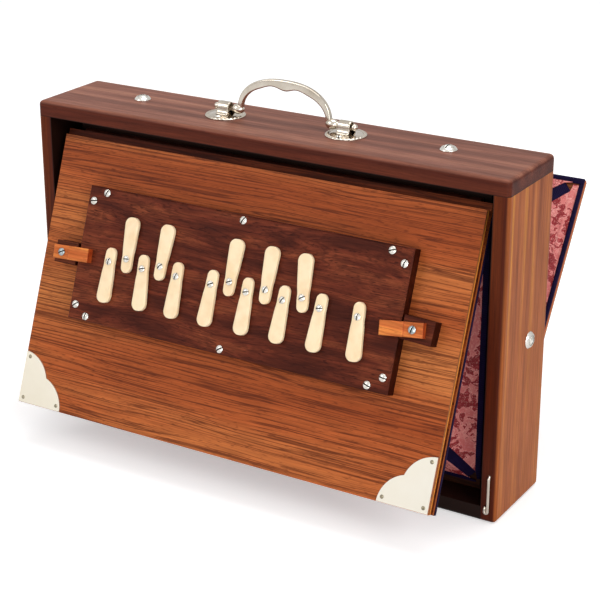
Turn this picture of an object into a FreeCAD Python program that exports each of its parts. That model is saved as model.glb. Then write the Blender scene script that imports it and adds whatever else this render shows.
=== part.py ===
import FreeCAD, Part
import math
import os
import Sketcher
from FreeCAD import Placement, Rotation, Vector

# Shruti box: a teak drone instrument that stands on its bottom board. The origin is
# the centre of the case's bottom face, +X is to the right, -Y is the front, +Z is up.
# A front board hinged at its top and a back board hinged at its bottom each close a
# wedge bellows, and both are drawn open, as far as their bellows let them go.

doc = FreeCAD.newDocument("shruti_box")
sheet = doc.addObject("Spreadsheet::Sheet", "Dims")

DRIVING = (
    ("case_width", 400, "outside width of the case"),
    ("case_depth", 75, "outside depth of the case"),
    ("case_height", 258, "outside height of the case"),
    ("case_wall", 12, "thickness of the four case boards"),
    ("case_round", 3.5, "rounding of the outside edges"),
    ("centre_thick", 9, "thickness of the centre board"),
    ("centre_back", 11.3, "centre board's back face from the middle of the case"),
    ("chest_depth", 16.1, "depth of the frame in front of the centre board"),
    ("rear_depth", 10.1, "depth of the frame behind the centre board"),
    ("chest_rail", 15, "width of a frame rail"),
    ("chest_margin", 12, "case wall to the bellows frames"),
    ("transfer_radius", 14, "transfer hole in the centre board"),
    ("transfer_apart", 92, "distance between the two transfer holes"),
    ("transfer_height", 118, "height of the transfer holes"),
    ("panel_thick", 4.5, "outer layer of a moving board"),
    ("liner_thick", 5, "inner layer of a moving board"),
    ("panel_width", 360, "width of the outer layer"),
    ("panel_height", 212.4, "height of the outer layer"),
    ("liner_side", 1.2, "inner layer showing at each side"),
    ("liner_hinge", 5, "inner layer showing at the hinge edge"),
    ("front_hinge_z", 232.4, "height of the front board's hinge line"),
    ("back_hinge_z", 25, "height of the back board's hinge line"),
    ("front_angle", 21, "front board, opening angle as drawn"),
    ("back_angle", 32.5, "back board, opening angle as drawn"),
    ("fold_gap", 4.6, "room for the folded ribs when a board is shut"),
    ("rib_thick", 1.2, "card of a bellows rib"),
    ("rib_clear", 0.35, "folded rib to the wood behind it"),
    ("rib_inset", 6, "bellows edge inside the board's edge"),
    ("rib_length", 213, "hinge line to the end rib's edge"),
    ("rib_fold_cut", 1.5, "cloth left open along a fold"),
    ("rib_mitre_cut", 5.6, "cloth left open at a corner"),
    ("rib_start", 14, "ribs start this far from the hinge line"),
    ("front_rib", 58, "width of the front ribs at the end"),
    ("back_rib", 84, "width of the back ribs at the end"),
    ("front_side_tilt", 29.5, "front side rib from its board, as drawn"),
    ("front_end_tilt", 30.4, "front end rib from its board, as drawn"),
    ("back_side_tilt", 26.2, "back side rib from its board, as drawn"),
    ("back_end_tilt", 27, "back end rib from its board, as drawn"),
    ("plate_width", 278, "width of the stop plate"),
    ("plate_height", 103, "height of the stop plate"),
    ("plate_thick", 10, "thickness of the stop plate"),
    ("plate_down", 35, "panel's top edge to the stop plate"),
    ("plate_left", 2, "stop plate left of the board's middle"),
    ("plate_bevel", 1, "bevel round the stop plate"),
    ("stop_pitch", 30.7, "distance between stops in the lower row"),
    ("lower_pivot", 54, "stop plate's top edge to the lower pivots"),
    ("upper_pivot", 49.4, "stop plate's top edge to the upper pivots"),
    ("stop_long", 31.5, "pivot to the wide end of a stop"),
    ("stop_short", 10.5, "pivot to the narrow end of a stop"),
    ("stop_wide", 13.2, "width of the wide end"),
    ("stop_narrow", 9.8, "width of the narrow end"),
    ("stop_thick", 3.5, "thickness of a stop"),
    ("stop_wide_corner", 5.4, "rounding of the wide end's corners"),
    ("stop_narrow_corner", 3.7, "rounding of the narrow end's corners"),
    ("stop_tilt", 3.5, "stops as drawn, off the upright"),
    ("stop_bevel", 0.8, "bevel round the face of a stop"),
    ("slip_gap", 0.3, "a turning wooden or ivory piece to what it slides on"),
    ("sound_radius", 3.2, "sound hole under a stop"),
    ("sound_reach", 22, "pivot to the sound hole"),
    ("pivot_radius", 1.6, "shank of a pivot screw"),
    ("running_fit", 0.06, "radial play of a turning pair"),
    ("wood_fit", 0.03, "radial play of a screw in its wood"),
    ("head_radius", 3.4, "round screw head on the front board"),
    ("head_height", 1.9, "height of that head"),
    ("plate_screw_radius", 1.5, "shank of a stop plate screw"),
    ("plate_screw_side", 5.5, "side screws from the plate's side edge"),
    ("plate_screw_corner", 16.5, "corner screws from the plate's side edge"),
    ("plate_screw_edge", 3.9, "corner screws from the plate's long edge"),
    ("plate_screw_in", 11.4, "side screws from the plate's long edge"),
    ("left_block", 20, "left turn button's spacer block along the board"),
    ("right_block", 24, "right turn button's spacer block along the board"),
    ("block_height", 17, "spacer block up and down"),
    ("block_gap", 1.6, "stop plate to the spacer block"),
    ("button_apart", 302, "distance between the turn buttons' screws"),
    ("button_drop", 3, "turn buttons' screws below the stop plate's middle"),
    ("button_long", 25, "turn button, screw to tip"),
    ("button_short", 8, "turn button, screw to its near end"),
    ("button_wide", 10.6, "turn button's width"),
    ("button_thick", 6, "turn button over the stop plate"),
    ("button_thin", 5, "turn button at its screw"),
    ("button_step", 6.6, "screw to the step in the button"),
    ("button_head", 2.9, "radius of a turn button's screw head"),
    ("corner_arm", 40, "corner plate along each edge"),
    ("corner_cusp", 22.5, "corner plate's cusp from each edge"),
    ("corner_thick", 1, "sheet of a corner plate"),
    ("corner_inset", 0.4, "corner plate inside the panel's edge"),
    ("nail_radius", 0.8, "shank of a corner plate nail"),
    ("nail_head", 1.5, "radius of its head"),
    ("nail_length", 6, "length of its shank"),
    ("nail_edge", 4.2, "nail from the panel's edge"),
    ("nail_reach", 36.5, "outer nails from the far edge"),
    ("reed_width", 10, "brass reed plate"),
    ("reed_length", 34, "length of a reed plate"),
    ("reed_thick", 1.4, "thickness of a reed plate"),
    ("reed_slot", 3, "width of the slot in a reed plate"),
    ("tongue_thick", 0.3, "thickness of a reed tongue"),
    ("tongue_play", 0.2, "tongue to slot, each side"),
    ("rivet_radius", 1, "rivet that holds a tongue"),
    ("case_screw_y", 6.8, "line of the case screws"),
    ("top_screw_x", 132, "top screws from the middle"),
    ("side_screw_z", 128, "height of the side screws"),
    ("case_screw_radius", 1.9, "shank of a case screw"),
    ("case_screw_length", 34, "length of a case screw"),
    ("case_head", 3.7, "radius of its oval head"),
    ("cup_radius", 6.4, "radius of a cup washer"),
    ("cup_height", 2.2, "height of a cup washer"),
    ("handle_y", 1.8, "handle behind the middle"),
    ("base_apart", 104, "distance between the handle's round bases"),
    ("base_radius", 15.5, "radius of a handle base"),
    ("base_thick", 1.6, "thickness of a handle base"),
    ("barrel_length", 12, "barrel on a handle base"),
    ("barrel_radius", 4.2, "outside radius of the barrel"),
    ("barrel_height", 6.4, "bail's axis above the case"),
    ("bail_pin", 2.1, "radius of the bail's pins"),
    ("bail_span", 76, "distance between the bail's feet"),
    ("bail_rise", 27.5, "height of the bail above its axis"),
    ("bail_wide", 6.6, "height of the bail's band"),
    ("bail_thick", 4, "thickness of the bail's band"),
    ("bail_collar", 4.2, "radius of the bail's collars"),
    ("base_screw_reach", 9.8, "handle screws from the base's middle"),
    ("base_screw_radius", 1.3, "shank of a handle screw"),
    ("base_screw_head", 2.7, "radius of its head"),
    ("hook_x", 194.3, "wire hook's pivot"),
    ("hook_z", 37.5, "height of that pivot"),
    ("hook_wire", 0.95, "radius of the hook's wire"),
    ("hook_drop", 29, "pivot to the middle of the hook's bend"),
    ("hook_bend", 1.8, "radius of the hook's bend"),
    ("hook_depth", 8, "pivot pin in the case edge"),
    ("roll_ends", 10, "hinge roll short of the board at each end"),
    ("roll_play", 0.05, "hinge roll to the board that turns on it"),
    ("flap_thick", 1.5, "leather of a valve flap"),
    ("flap_over", 8, "flap past the edge of its holes"),
    ("intake_radius", 9, "intake hole in the back board"),
    ("intake_apart", 40, "distance between intake holes"),
    ("intake_up", 95, "hinge line to the intake holes"),
)

for row, (alias, value, note) in enumerate(DRIVING, 1):
    sheet.set(f"A{row}", alias)
    sheet.set(f"B{row}", str(value))
    sheet.setAlias(f"B{row}", alias)
    sheet.set(f"C{row}", note)
doc.recompute()

nodes = {}


def dim(alias):
    """One driving dimension, read from the sheet."""
    return float(sheet.get(alias))


def keep(label, obj, place=None):
    """Registers obj as a sub-part, in its place."""
    obj.Label = label
    if place is not None:
        obj.Placement = place
    nodes[label] = obj
    return obj


def block(name, sizes, corner):
    """A box with its sizes bound to the sheet and its low corner at corner."""
    obj = doc.addObject("Part::Box", name)
    for prop, text in zip(("Length", "Width", "Height"), sizes):
        obj.setExpression(prop, text)
    obj.Placement.Base = Vector(*corner)
    return obj


def rod(name, radius, length, start, direction):
    """A cylinder from start along direction, its sizes bound to the sheet."""
    obj = doc.addObject("Part::Cylinder", name)
    obj.setExpression("Radius", radius)
    obj.setExpression("Height", length)
    turn = Rotation(Vector(0, 0, 1), Vector(*direction))
    obj.Placement = Placement(Vector(*start), turn)
    return obj


def group(name, parts):
    obj = doc.addObject("Part::Compound", name)
    obj.Links = parts
    return obj


def cut(name, base, tools):
    obj = doc.addObject("Part::Cut", name)
    obj.Base = base
    obj.Tool = tools[0] if len(tools) == 1 else group(name + "_tools", tools)
    return obj


def fuse(name, parts):
    obj = doc.addObject("Part::MultiFuse", name)
    obj.Shapes = parts
    return obj


def rounded(name, base, radius, picked):
    """Rounds the edges of base that the test picked accepts."""
    doc.recompute()
    obj = doc.addObject("Part::Fillet", name)
    obj.Base = base
    chosen = [i for i, edge in enumerate(base.Shape.Edges, 1) if picked(edge)]
    obj.Edges = [(i, radius, radius) for i in chosen]
    return obj


def solid_feature(name, shape):
    obj = doc.addObject("Part::Feature", name)
    obj.Shape = shape
    return obj


def mid(edge):
    box = edge.BoundBox
    return box.Center


def near(a, b):
    return abs(a - b) < 1e-6


# Frames of the two moving boards
half_case = dim("case_width") / 2
half_depth = dim("case_depth") / 2
wall = dim("case_wall")
inner_half = half_case - wall
centre_front = dim("centre_back") - dim("centre_thick")
chest_front = centre_front - dim("chest_depth")
half_fold = dim("fold_gap") / 2
rear_face = dim("centre_back") + dim("rear_depth")
front_hinge = Vector(0, chest_front - half_fold, dim("front_hinge_z"))
back_hinge = Vector(0, rear_face + half_fold, dim("back_hinge_z"))
x_axis = Vector(1, 0, 0)
front_fixed = Placement(front_hinge, Rotation())
back_fixed = Placement(back_hinge, Rotation(x_axis, 180))
front_moving = front_fixed.multiply(Placement(Vector(), Rotation(x_axis, -dim("front_angle"))))
back_moving = back_fixed.multiply(Placement(Vector(), Rotation(x_axis, -dim("back_angle"))))


def case_top():
    low_z = dim("case_height") - wall
    board = block("top_board", ("Dims.case_width", "Dims.case_depth", "Dims.case_wall"),
                  (-half_case, -half_depth, low_z))
    edges = lambda edge: not near(mid(edge).z, low_z)
    board = rounded("top_rounded", board, dim("case_round"), edges)
    holes = []
    for i, x in enumerate((-dim("top_screw_x"), dim("top_screw_x"))):
        holes.append(rod(f"top_hole_{i}", "Dims.case_screw_radius + Dims.wood_fit", "2 * Dims.case_wall",
                         (x, dim("case_screw_y"), low_z - wall / 2), (0, 0, 1)))
    for i, (x, y) in enumerate(handle_screw_places()):
        holes.append(rod(f"handle_hole_{i}", "Dims.base_screw_radius + Dims.wood_fit", "2 * Dims.case_wall",
                         (x, y, low_z - wall / 2), (0, 0, 1)))
    keep("case_top", cut("top_drilled", board, holes))


def case_bottom():
    board = block("bottom_board",
                  ("Dims.case_width - 2 * Dims.case_wall", "Dims.case_depth", "Dims.case_wall"),
                  (-inner_half, -half_depth, 0))
    edges = lambda edge: near(mid(edge).z, 0) and near(mid(edge).x, 0)
    keep("case_bottom", rounded("case_bottom", board, dim("case_round"), edges))


def case_side(label, side):
    outer_x = side * half_case
    low_x = min(outer_x, side * inner_half)
    board = block(label + "_board",
                  ("Dims.case_wall", "Dims.case_depth", "Dims.case_height - Dims.case_wall"),
                  (low_x, -half_depth, 0))
    top_z = dim("case_height") - wall

    def outside(edge):
        upright = near(mid(edge).x, outer_x) and not near(mid(edge).z, top_z)
        foot = near(mid(edge).z, 0) and not near(mid(edge).x, side * inner_half)
        return upright or foot

    board = rounded(label + "_rounded", board, dim("case_round"), outside)
    tools = [rod(label + "_screw_hole", "Dims.case_screw_radius + Dims.wood_fit", "2 * Dims.case_wall",
                 (low_x - wall / 2, dim("case_screw_y"), dim("side_screw_z")), (1, 0, 0))]
    if side > 0:
        tools.append(rod("hook_hole", "Dims.hook_wire + Dims.running_fit", "Dims.hook_depth + 1",
                         (dim("hook_x"), -half_depth - 0.5, dim("hook_z")), (0, 1, 0)))
    keep(label, cut(label + "_drilled", board, tools))


def centre_board():
    board = block("centre_blank",
                  ("Dims.case_width - 2 * Dims.case_wall", "Dims.centre_thick",
                   "Dims.case_height - 2 * Dims.case_wall"),
                  (-inner_half, centre_front, wall))
    reach = dim("case_screw_length") - wall + 1
    top_z = dim("case_height") - wall
    tools = []
    for i, x in enumerate((-dim("top_screw_x"), dim("top_screw_x"))):
        tools.append(rod(f"centre_top_hole_{i}", "Dims.case_screw_radius + Dims.wood_fit",
                         "Dims.case_screw_length - Dims.case_wall + 1",
                         (x, dim("case_screw_y"), top_z - reach), (0, 0, 1)))
    for i, side in enumerate((-1, 1)):
        tools.append(rod(f"centre_side_hole_{i}", "Dims.case_screw_radius + Dims.wood_fit",
                         "Dims.case_screw_length - Dims.case_wall + 1",
                         (side * (inner_half - reach), dim("case_screw_y"), dim("side_screw_z")),
                         (side, 0, 0)))
        tools.append(rod(f"transfer_hole_{i}", "Dims.transfer_radius", "Dims.centre_thick + 2",
                         (side * dim("transfer_apart") / 2, centre_front - 1, dim("transfer_height")),
                         (0, 1, 0)))
    keep("centre_board", cut("centre_drilled", board, tools))


def frame_rails(label, depth, front_y, low_z, high_z, height):
    """Four rails round one hollow, glued to the centre board; a bellows stands on them."""
    half_width = inner_half - dim("chest_margin")
    rail = dim("chest_rail")
    width = "(Dims.case_width - 2 * Dims.case_wall - 2 * Dims.chest_margin)"
    rails = []
    for name, z in (("low", low_z), ("high", high_z - rail)):
        rails.append(block(f"{label}_{name}", (width, depth, "Dims.chest_rail"), (-half_width, front_y, z)))
    for name, x in (("left", -half_width), ("right", half_width - rail)):
        rails.append(block(f"{label}_{name}", ("Dims.chest_rail", depth, height + " - 2 * Dims.chest_rail"),
                           (x, front_y, low_z + rail)))
    keep(label, group(label, rails))


def bellows_frames():
    half_rail = dim("chest_rail") / 2
    height = "(Dims.front_hinge_z + Dims.chest_rail / 2 - Dims.case_wall)"
    frame_rails("front_frame_rails", "Dims.chest_depth", chest_front, wall,
                dim("front_hinge_z") + half_rail, height)
    height = "(Dims.case_height - Dims.case_wall - Dims.back_hinge_z + Dims.chest_rail / 2)"
    frame_rails("rear_frame_rails", "Dims.rear_depth", dim("centre_back"),
                dim("back_hinge_z") - half_rail, dim("case_height") - wall, height)


def hinge_roll(label, base):
    """Leather roll on the frame, round where the board turns on it."""
    radius = half_fold - dim("roll_play")
    start = -dim("panel_width") / 2 + dim("roll_ends")
    length = "(Dims.panel_width - 2 * Dims.roll_ends)"
    roll = rod(label + "_round", "Dims.fold_gap / 2 - Dims.roll_play", length, (start, 0, 0), (1, 0, 0))
    foot = block(label + "_foot", (length, "Dims.fold_gap / 2", "Dims.fold_gap - 2 * Dims.roll_play"),
                 (start, 0, -radius))
    keep(label, fuse(label + "_whole", [roll, foot]), base)


def round_head_screw(head_radius, head_height, shank_radius, length, slot=0.0):
    """Screw along -Z, its head's seat at z = 0, with a slot along X."""
    bulge = (head_radius ** 2 + head_height ** 2) / (2 * head_height)
    ball = Part.makeSphere(bulge, Vector(0, 0, head_height - bulge))
    disc = Part.makeCylinder(head_radius, head_height + 1)
    head = ball.common(disc)
    screw = head.fuse(Part.makeCylinder(shank_radius, length, Vector(0, 0, -length)))
    if slot:
        width = 0.22 * head_radius
        groove = Part.makeBox(2 * head_radius + 1, width, slot + 1,
                              Vector(-head_radius - 0.5, -width / 2, head_height - slot))
        screw = screw.cut(groove)
    return screw.removeSplitter()


def copies(label, shape, places, place=None):
    """One node that holds identical separate solids."""
    made = []
    for where in places:
        one = shape.copy()
        one.Placement = where.multiply(one.Placement)
        made.append(one)
    return keep(label, solid_feature(label, Part.makeCompound(made)), place)


def seated(point, outward, spin=0.0):
    """Placement that turns +Z to outward, after a spin about Z."""
    turn = Rotation(Vector(0, 0, 1), Vector(*outward))
    return Placement(Vector(*point), turn.multiply(Rotation(Vector(0, 0, 1), spin)))


def case_screws():
    top = dim("case_height")
    y = dim("case_screw_y")
    places = [seated((-dim("top_screw_x"), y, top), (0, 0, 1), 35),
              seated((dim("top_screw_x"), y, top), (0, 0, 1), 80),
              seated((half_case, y, dim("side_screw_z")), (1, 0, 0), 20),
              seated((-half_case, y, dim("side_screw_z")), (-1, 0, 0), 65)]
    head, cup = dim("case_head"), dim("cup_radius")
    height = dim("cup_height")
    bore = dim("case_screw_radius") + dim("wood_fit")
    seat = 0.5
    profile = [Vector(bore, 0, 0), Vector(cup, 0, 0), Vector(head + 1.1, 0, height),
               Vector(head + 0.05, 0, height), Vector(bore, 0, seat), Vector(bore, 0, 0)]
    washer = Part.Face(Part.makePolygon(profile)).revolve(Vector(), Vector(0, 0, 1), 360)
    copies("case_cup_washers", washer, places)

    dome = 1.5
    cone = Part.makeCone(dim("case_screw_radius"), head, height - seat, Vector(0, 0, seat))
    bulge = (head ** 2 + dome ** 2) / (2 * dome)
    ball = Part.makeSphere(bulge, Vector(0, 0, height + dome - bulge))
    oval = ball.common(Part.makeCylinder(head, dome + 1, Vector(0, 0, height)))
    length = dim("case_screw_length")
    shank = Part.makeCylinder(dim("case_screw_radius"), length + seat, Vector(0, 0, -length))
    screw = cone.fuse([oval, shank])
    slot = Part.makeBox(2 * head + 2, 0.9, 2, Vector(-head - 1, -0.45, height + dome - 1))
    copies("case_screws", screw.cut(slot).removeSplitter(), places)


def handle_base_x():
    return [side * dim("base_apart") / 2 for side in (-1, 1)]


def handle_screw_places():
    reach = dim("base_screw_reach")
    return [(x, dim("handle_y") + side * reach) for x in handle_base_x() for side in (-1, 1)]


def handle_base(label, x):
    """Round foot with a barrel that carries one pin of the bail."""
    top = dim("case_height")
    axis_z = top + dim("barrel_height")
    half = dim("barrel_length") / 2
    y = dim("handle_y")
    disc = rod(label + "_disc", "Dims.base_radius", "Dims.base_thick", (x, y, top), (0, 0, 1))
    barrel = rod(label + "_barrel", "Dims.barrel_radius", "Dims.barrel_length", (x - half, y, axis_z), (1, 0, 0))
    web = block(label + "_web", ("Dims.barrel_length", "2 * Dims.barrel_radius", "Dims.barrel_height"),
                (x - half, y - dim("barrel_radius"), top))
    tools = [rod(label + "_bore", "Dims.bail_pin + Dims.running_fit", "Dims.barrel_length + 2",
                 (x - half - 1, y, axis_z), (1, 0, 0))]
    for side in (-1, 1):
        tools.append(rod(f"{label}_hole_{side + 1}", "Dims.base_screw_radius + Dims.wood_fit",
                         "4 * Dims.base_thick",
                         (x, y + side * dim("base_screw_reach"), top - dim("base_thick")), (0, 0, 1)))
    return cut(label + "_bored", fuse(label + "_body", [disc, barrel, web]), tools)


def handle_bail():
    """Flat stamped arch with a waved finger side, drawn standing up."""
    axis_z = dim("case_height") + dim("barrel_height")
    span = dim("bail_span") / 2
    rise = dim("bail_rise")
    band = dim("bail_wide")
    foot = 0.62 * band
    out_x, in_x = span + foot / 2, span - foot / 2
    left, right = Vector(-out_x, 0, 0), Vector(out_x, 0, 0)
    shoulder = 0.72 * rise
    outer = Part.BSplineCurve()
    outer.interpolate([left, Vector(-0.76 * out_x, 0, shoulder), Vector(0, 0, rise),
                       Vector(0.76 * out_x, 0, shoulder), right])
    wave_z = rise - band
    inner = Part.BSplineCurve()
    inner.interpolate([Vector(in_x, 0, 0), Vector(0.72 * in_x, 0, 0.62 * wave_z),
                       Vector(0.36 * in_x, 0, wave_z + 0.6), Vector(0, 0, wave_z - 1),
                       Vector(-0.36 * in_x, 0, wave_z + 0.6), Vector(-0.72 * in_x, 0, 0.62 * wave_z),
                       Vector(-in_x, 0, 0)])
    wire = Part.Wire([outer.toShape(), Part.makeLine(right, Vector(in_x, 0, 0)),
                      inner.toShape(), Part.makeLine(Vector(-in_x, 0, 0), left)])
    arch = Part.Face(wire).extrude(Vector(0, dim("bail_thick"), 0))
    arch.translate(Vector(0, -dim("bail_thick") / 2, 0))
    parts = []
    pin_end = dim("base_apart") / 2 + dim("barrel_length") / 2 + 3
    for side in (-1, 1):
        collar = dim("bail_collar")
        parts.append(Part.makeSphere(collar, Vector(side * span, 0, 0)))
        start = Vector(side * span, 0, 0)
        parts.append(Part.makeCylinder(dim("bail_pin"), pin_end - span, start, Vector(side, 0, 0)))
        parts.append(Part.makeSphere(dim("bail_pin") + 0.5, Vector(side * (pin_end + 0.6), 0, 0)))
    bail = arch.fuse(parts).removeSplitter()
    place = Placement(Vector(0, dim("handle_y"), axis_z), Rotation())
    keep("handle_bail", solid_feature("handle_bail", bail), place)


def handle_screws():
    screw = round_head_screw(dim("base_screw_head"), 1.3, dim("base_screw_radius"), 10, 0.6)
    seat = dim("case_height") + dim("base_thick")
    spins = (15, 70, 110, 40)
    places = [seated((x, y, seat), (0, 0, 1), spin)
              for (x, y), spin in zip(handle_screw_places(), spins)]
    copies("handle_screws", screw, places)


# Layout of the front board, in its own frame: the origin is on the hinge line, +Z runs
# up the board, the board's outside faces -Y and the panel's top edge is at panel_top.
liner_out = -half_fold - dim("liner_thick")
panel_out = liner_out - dim("panel_thick")
plate_out = panel_out - dim("plate_thick")
panel_top = -dim("liner_hinge")
panel_low = panel_top - dim("panel_height")
plate_top = panel_top - dim("plate_down")
plate_mid = plate_top - dim("plate_height") / 2
plate_low = plate_top - dim("plate_height")
plate_x = -dim("plate_left")
button_z = plate_mid - dim("button_drop")


def stop_layout():
    """Name, pivot place and pointing direction of each stop."""
    pitch = dim("stop_pitch")
    first = plate_x - 3.5 * pitch
    lower_z = plate_top - dim("lower_pivot")
    upper_z = plate_top - dim("upper_pivot")
    rows = [(first + k * pitch, lower_z, -1) for k in range(8)]
    rows += [(first + (k + 0.5) * pitch, upper_z, 1) for k in (0, 1, 3, 4, 5)]
    return [(f"stop_{i:02d}", x, z, way) for i, (x, z, way) in enumerate(rows, 1)]


def sound_holes(prefix, y_from, length):
    tools = []
    for name, x, z, way in stop_layout():
        tools.append(rod(f"{prefix}_{name}", "Dims.sound_radius", length,
                         (x, y_from, z + way * dim("sound_reach")), (0, 1, 0)))
    return tools


def plate_screw_places():
    """The ten screws of the stop plate, as x and z."""
    half_w = dim("plate_width") / 2
    side_x = half_w - dim("plate_screw_side")
    corner_x = half_w - dim("plate_screw_corner")
    edge = dim("plate_screw_edge")
    inside = dim("plate_screw_in")
    places = []
    for z_edge, z_side in ((plate_top - edge, plate_top - inside), (plate_low + edge, plate_low + inside)):
        places += [(plate_x + x, z_edge) for x in (-corner_x, 0, corner_x)]
        places += [(plate_x + x, z_side) for x in (-side_x, side_x)]
    return places


def body_from(name, role, outline, length, reverse):
    """A PartDesign body padded from one sketch, whose outline draws and constrains it."""
    body = doc.addObject("PartDesign::Body", name)
    sketch = add_sketch(body, name + "_outline", role)
    outline(sketch)
    pad = body.newObject("PartDesign::Pad", name + "_pad")
    pad.Profile = sketch
    pad.setExpression("Length", length)
    pad.Reversed = reverse
    return body


def add_sketch(body, name, role, lift=0.0):
    sketch = body.newObject("Sketcher::SketchObject", name)
    plane = next(item for item in body.Origin.OriginFeatures if item.Role == role)
    sketch.AttachmentSupport = [(plane, "")]
    sketch.MapMode = "FlatFace"
    sketch.AttachmentOffset = Placement(Vector(0, 0, lift), Rotation())
    return sketch


def named(sketch, kind, refs, value, tag, text):
    index = sketch.addConstraint(Sketcher.Constraint(kind, *refs, value))
    sketch.renameConstraint(index, tag)
    sketch.setExpression("Constraints." + tag, text)


def centred_rectangle(sketch, width, height, width_text, height_text):
    """A rectangle centred on the sketch's origin."""
    w, h = width / 2, height / 2
    corners = [Vector(-w, -h, 0), Vector(w, -h, 0), Vector(w, h, 0), Vector(-w, h, 0)]
    for i in range(4):
        sketch.addGeometry(Part.LineSegment(corners[i], corners[(i + 1) % 4]))
    for i in range(4):
        sketch.addConstraint(Sketcher.Constraint("Coincident", i, 2, (i + 1) % 4, 1))
    for i, kind in enumerate(("Horizontal", "Vertical", "Horizontal", "Vertical")):
        sketch.addConstraint(Sketcher.Constraint(kind, i))
    sketch.addConstraint(Sketcher.Constraint("Symmetric", 0, 1, 2, 1, -1, 1))
    named(sketch, "DistanceX", (0, 1, 0, 2), width, "wide", width_text)
    named(sketch, "DistanceY", (1, 1, 1, 2), height, "high", height_text)


def layer(name, width_text, height_text, thick_text):
    """A board layer as a body, centred on X and Z, from y = 0 to y = thickness."""
    width = 100.0
    outline = lambda sketch: centred_rectangle(sketch, width, width, width_text, height_text)
    return body_from(name, "XZ_Plane", outline, thick_text, True)


def front_panel():
    body = layer("front_panel_body", "Dims.panel_width", "Dims.panel_height", "Dims.panel_thick")
    body.Placement.Base = Vector(0, panel_out, (panel_top + panel_low) / 2)
    tools = sound_holes("panel_sound", panel_out - 1, "Dims.panel_thick + 2")
    for i, (x, z) in enumerate(plate_screw_places()):
        tools.append(rod(f"panel_screw_{i}", "Dims.plate_screw_radius + Dims.wood_fit", "Dims.panel_thick",
                         (x, panel_out - 0.5, z), (0, 1, 0)))
    for i, (x, z) in enumerate(nail_places()):
        tools.append(rod(f"panel_nail_{i}", "Dims.nail_radius + Dims.wood_fit", "Dims.panel_thick + 2",
                         (x, panel_out - 1, z), (0, 1, 0)))
    for i, x in enumerate(button_x()):
        tools.append(rod(f"panel_button_{i}", "Dims.pivot_radius + Dims.wood_fit", "Dims.panel_thick",
                         (x, panel_out - 0.5, button_z), (0, 1, 0)))
    keep("front_panel", cut("front_panel_drilled", body, tools), front_moving)


def front_liner():
    width = "Dims.panel_width + 2 * Dims.liner_side"
    body = layer("front_liner_body", width, "Dims.panel_height + Dims.liner_hinge", "Dims.liner_thick")
    body.Placement.Base = Vector(0, liner_out, panel_low / 2)
    tools = sound_holes("liner_sound", liner_out - 1, "Dims.liner_thick + 2")
    for i, (x, z) in enumerate(nail_places()):
        tools.append(rod(f"liner_nail_{i}", "Dims.nail_radius + Dims.wood_fit", "Dims.liner_thick",
                         (x, liner_out - 1, z), (0, 1, 0)))
    keep("front_inner_board", cut("front_liner_drilled", body, tools), front_moving)


def stop_plate():
    body = layer("stop_plate_body", "Dims.plate_width", "Dims.plate_height", "Dims.plate_thick")
    doc.recompute()
    pad = body.Tip
    rim = [f"Edge{i}" for i, edge in enumerate(pad.Shape.Edges, 1) if near(mid(edge).y, 0)]
    bevel = body.newObject("PartDesign::Chamfer", "stop_plate_bevel")
    bevel.Base = (pad, rim)
    bevel.setExpression("Size", "Dims.plate_bevel")
    body.Placement.Base = Vector(plate_x, plate_out, plate_mid)
    tools = sound_holes("plate_sound", plate_out - 1, "Dims.plate_thick + 2")
    for name, x, z, way in stop_layout():
        tools.append(rod(f"plate_pivot_{name}", "Dims.pivot_radius + Dims.wood_fit", "Dims.plate_thick",
                         (x, plate_out - 1, z), (0, 1, 0)))
    for i, (x, z) in enumerate(plate_screw_places()):
        tools.append(rod(f"plate_screw_{i}", "Dims.plate_screw_radius + Dims.wood_fit",
                         "Dims.plate_thick + 2", (x, plate_out - 1, z), (0, 1, 0)))
    keep("stop_plate", cut("stop_plate_drilled", body, tools), front_moving)


def stop_outline(sketch):
    """Tapered paddle with rounded ends' corners, its pivot at the origin, pointing to +Z."""
    wide, narrow = dim("stop_wide") / 2, dim("stop_narrow") / 2
    top, low = dim("stop_long"), -dim("stop_short")
    points = [Vector(-narrow, low, 0), Vector(narrow, low, 0), Vector(wide, top, 0), Vector(-wide, top, 0)]
    for i in range(4):
        sketch.addGeometry(Part.LineSegment(points[i], points[(i + 1) % 4]))
    for i in range(4):
        sketch.addConstraint(Sketcher.Constraint("Coincident", i, 2, (i + 1) % 4, 1))
    sketch.addConstraint(Sketcher.Constraint("Symmetric", 0, 1, 0, 2, -2))
    sketch.addConstraint(Sketcher.Constraint("Symmetric", 2, 1, 2, 2, -2))
    named(sketch, "DistanceX", (0, 1, 0, 2), 2 * narrow, "narrow_end", "Dims.stop_narrow")
    named(sketch, "DistanceX", (2, 2, 2, 1), 2 * wide, "wide_end", "Dims.stop_wide")
    named(sketch, "DistanceY", (-1, 1, 2, 1), top, "long_side", "Dims.stop_long")
    named(sketch, "DistanceY", (0, 1, -1, 1), -low, "short_side", "Dims.stop_short")


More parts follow.
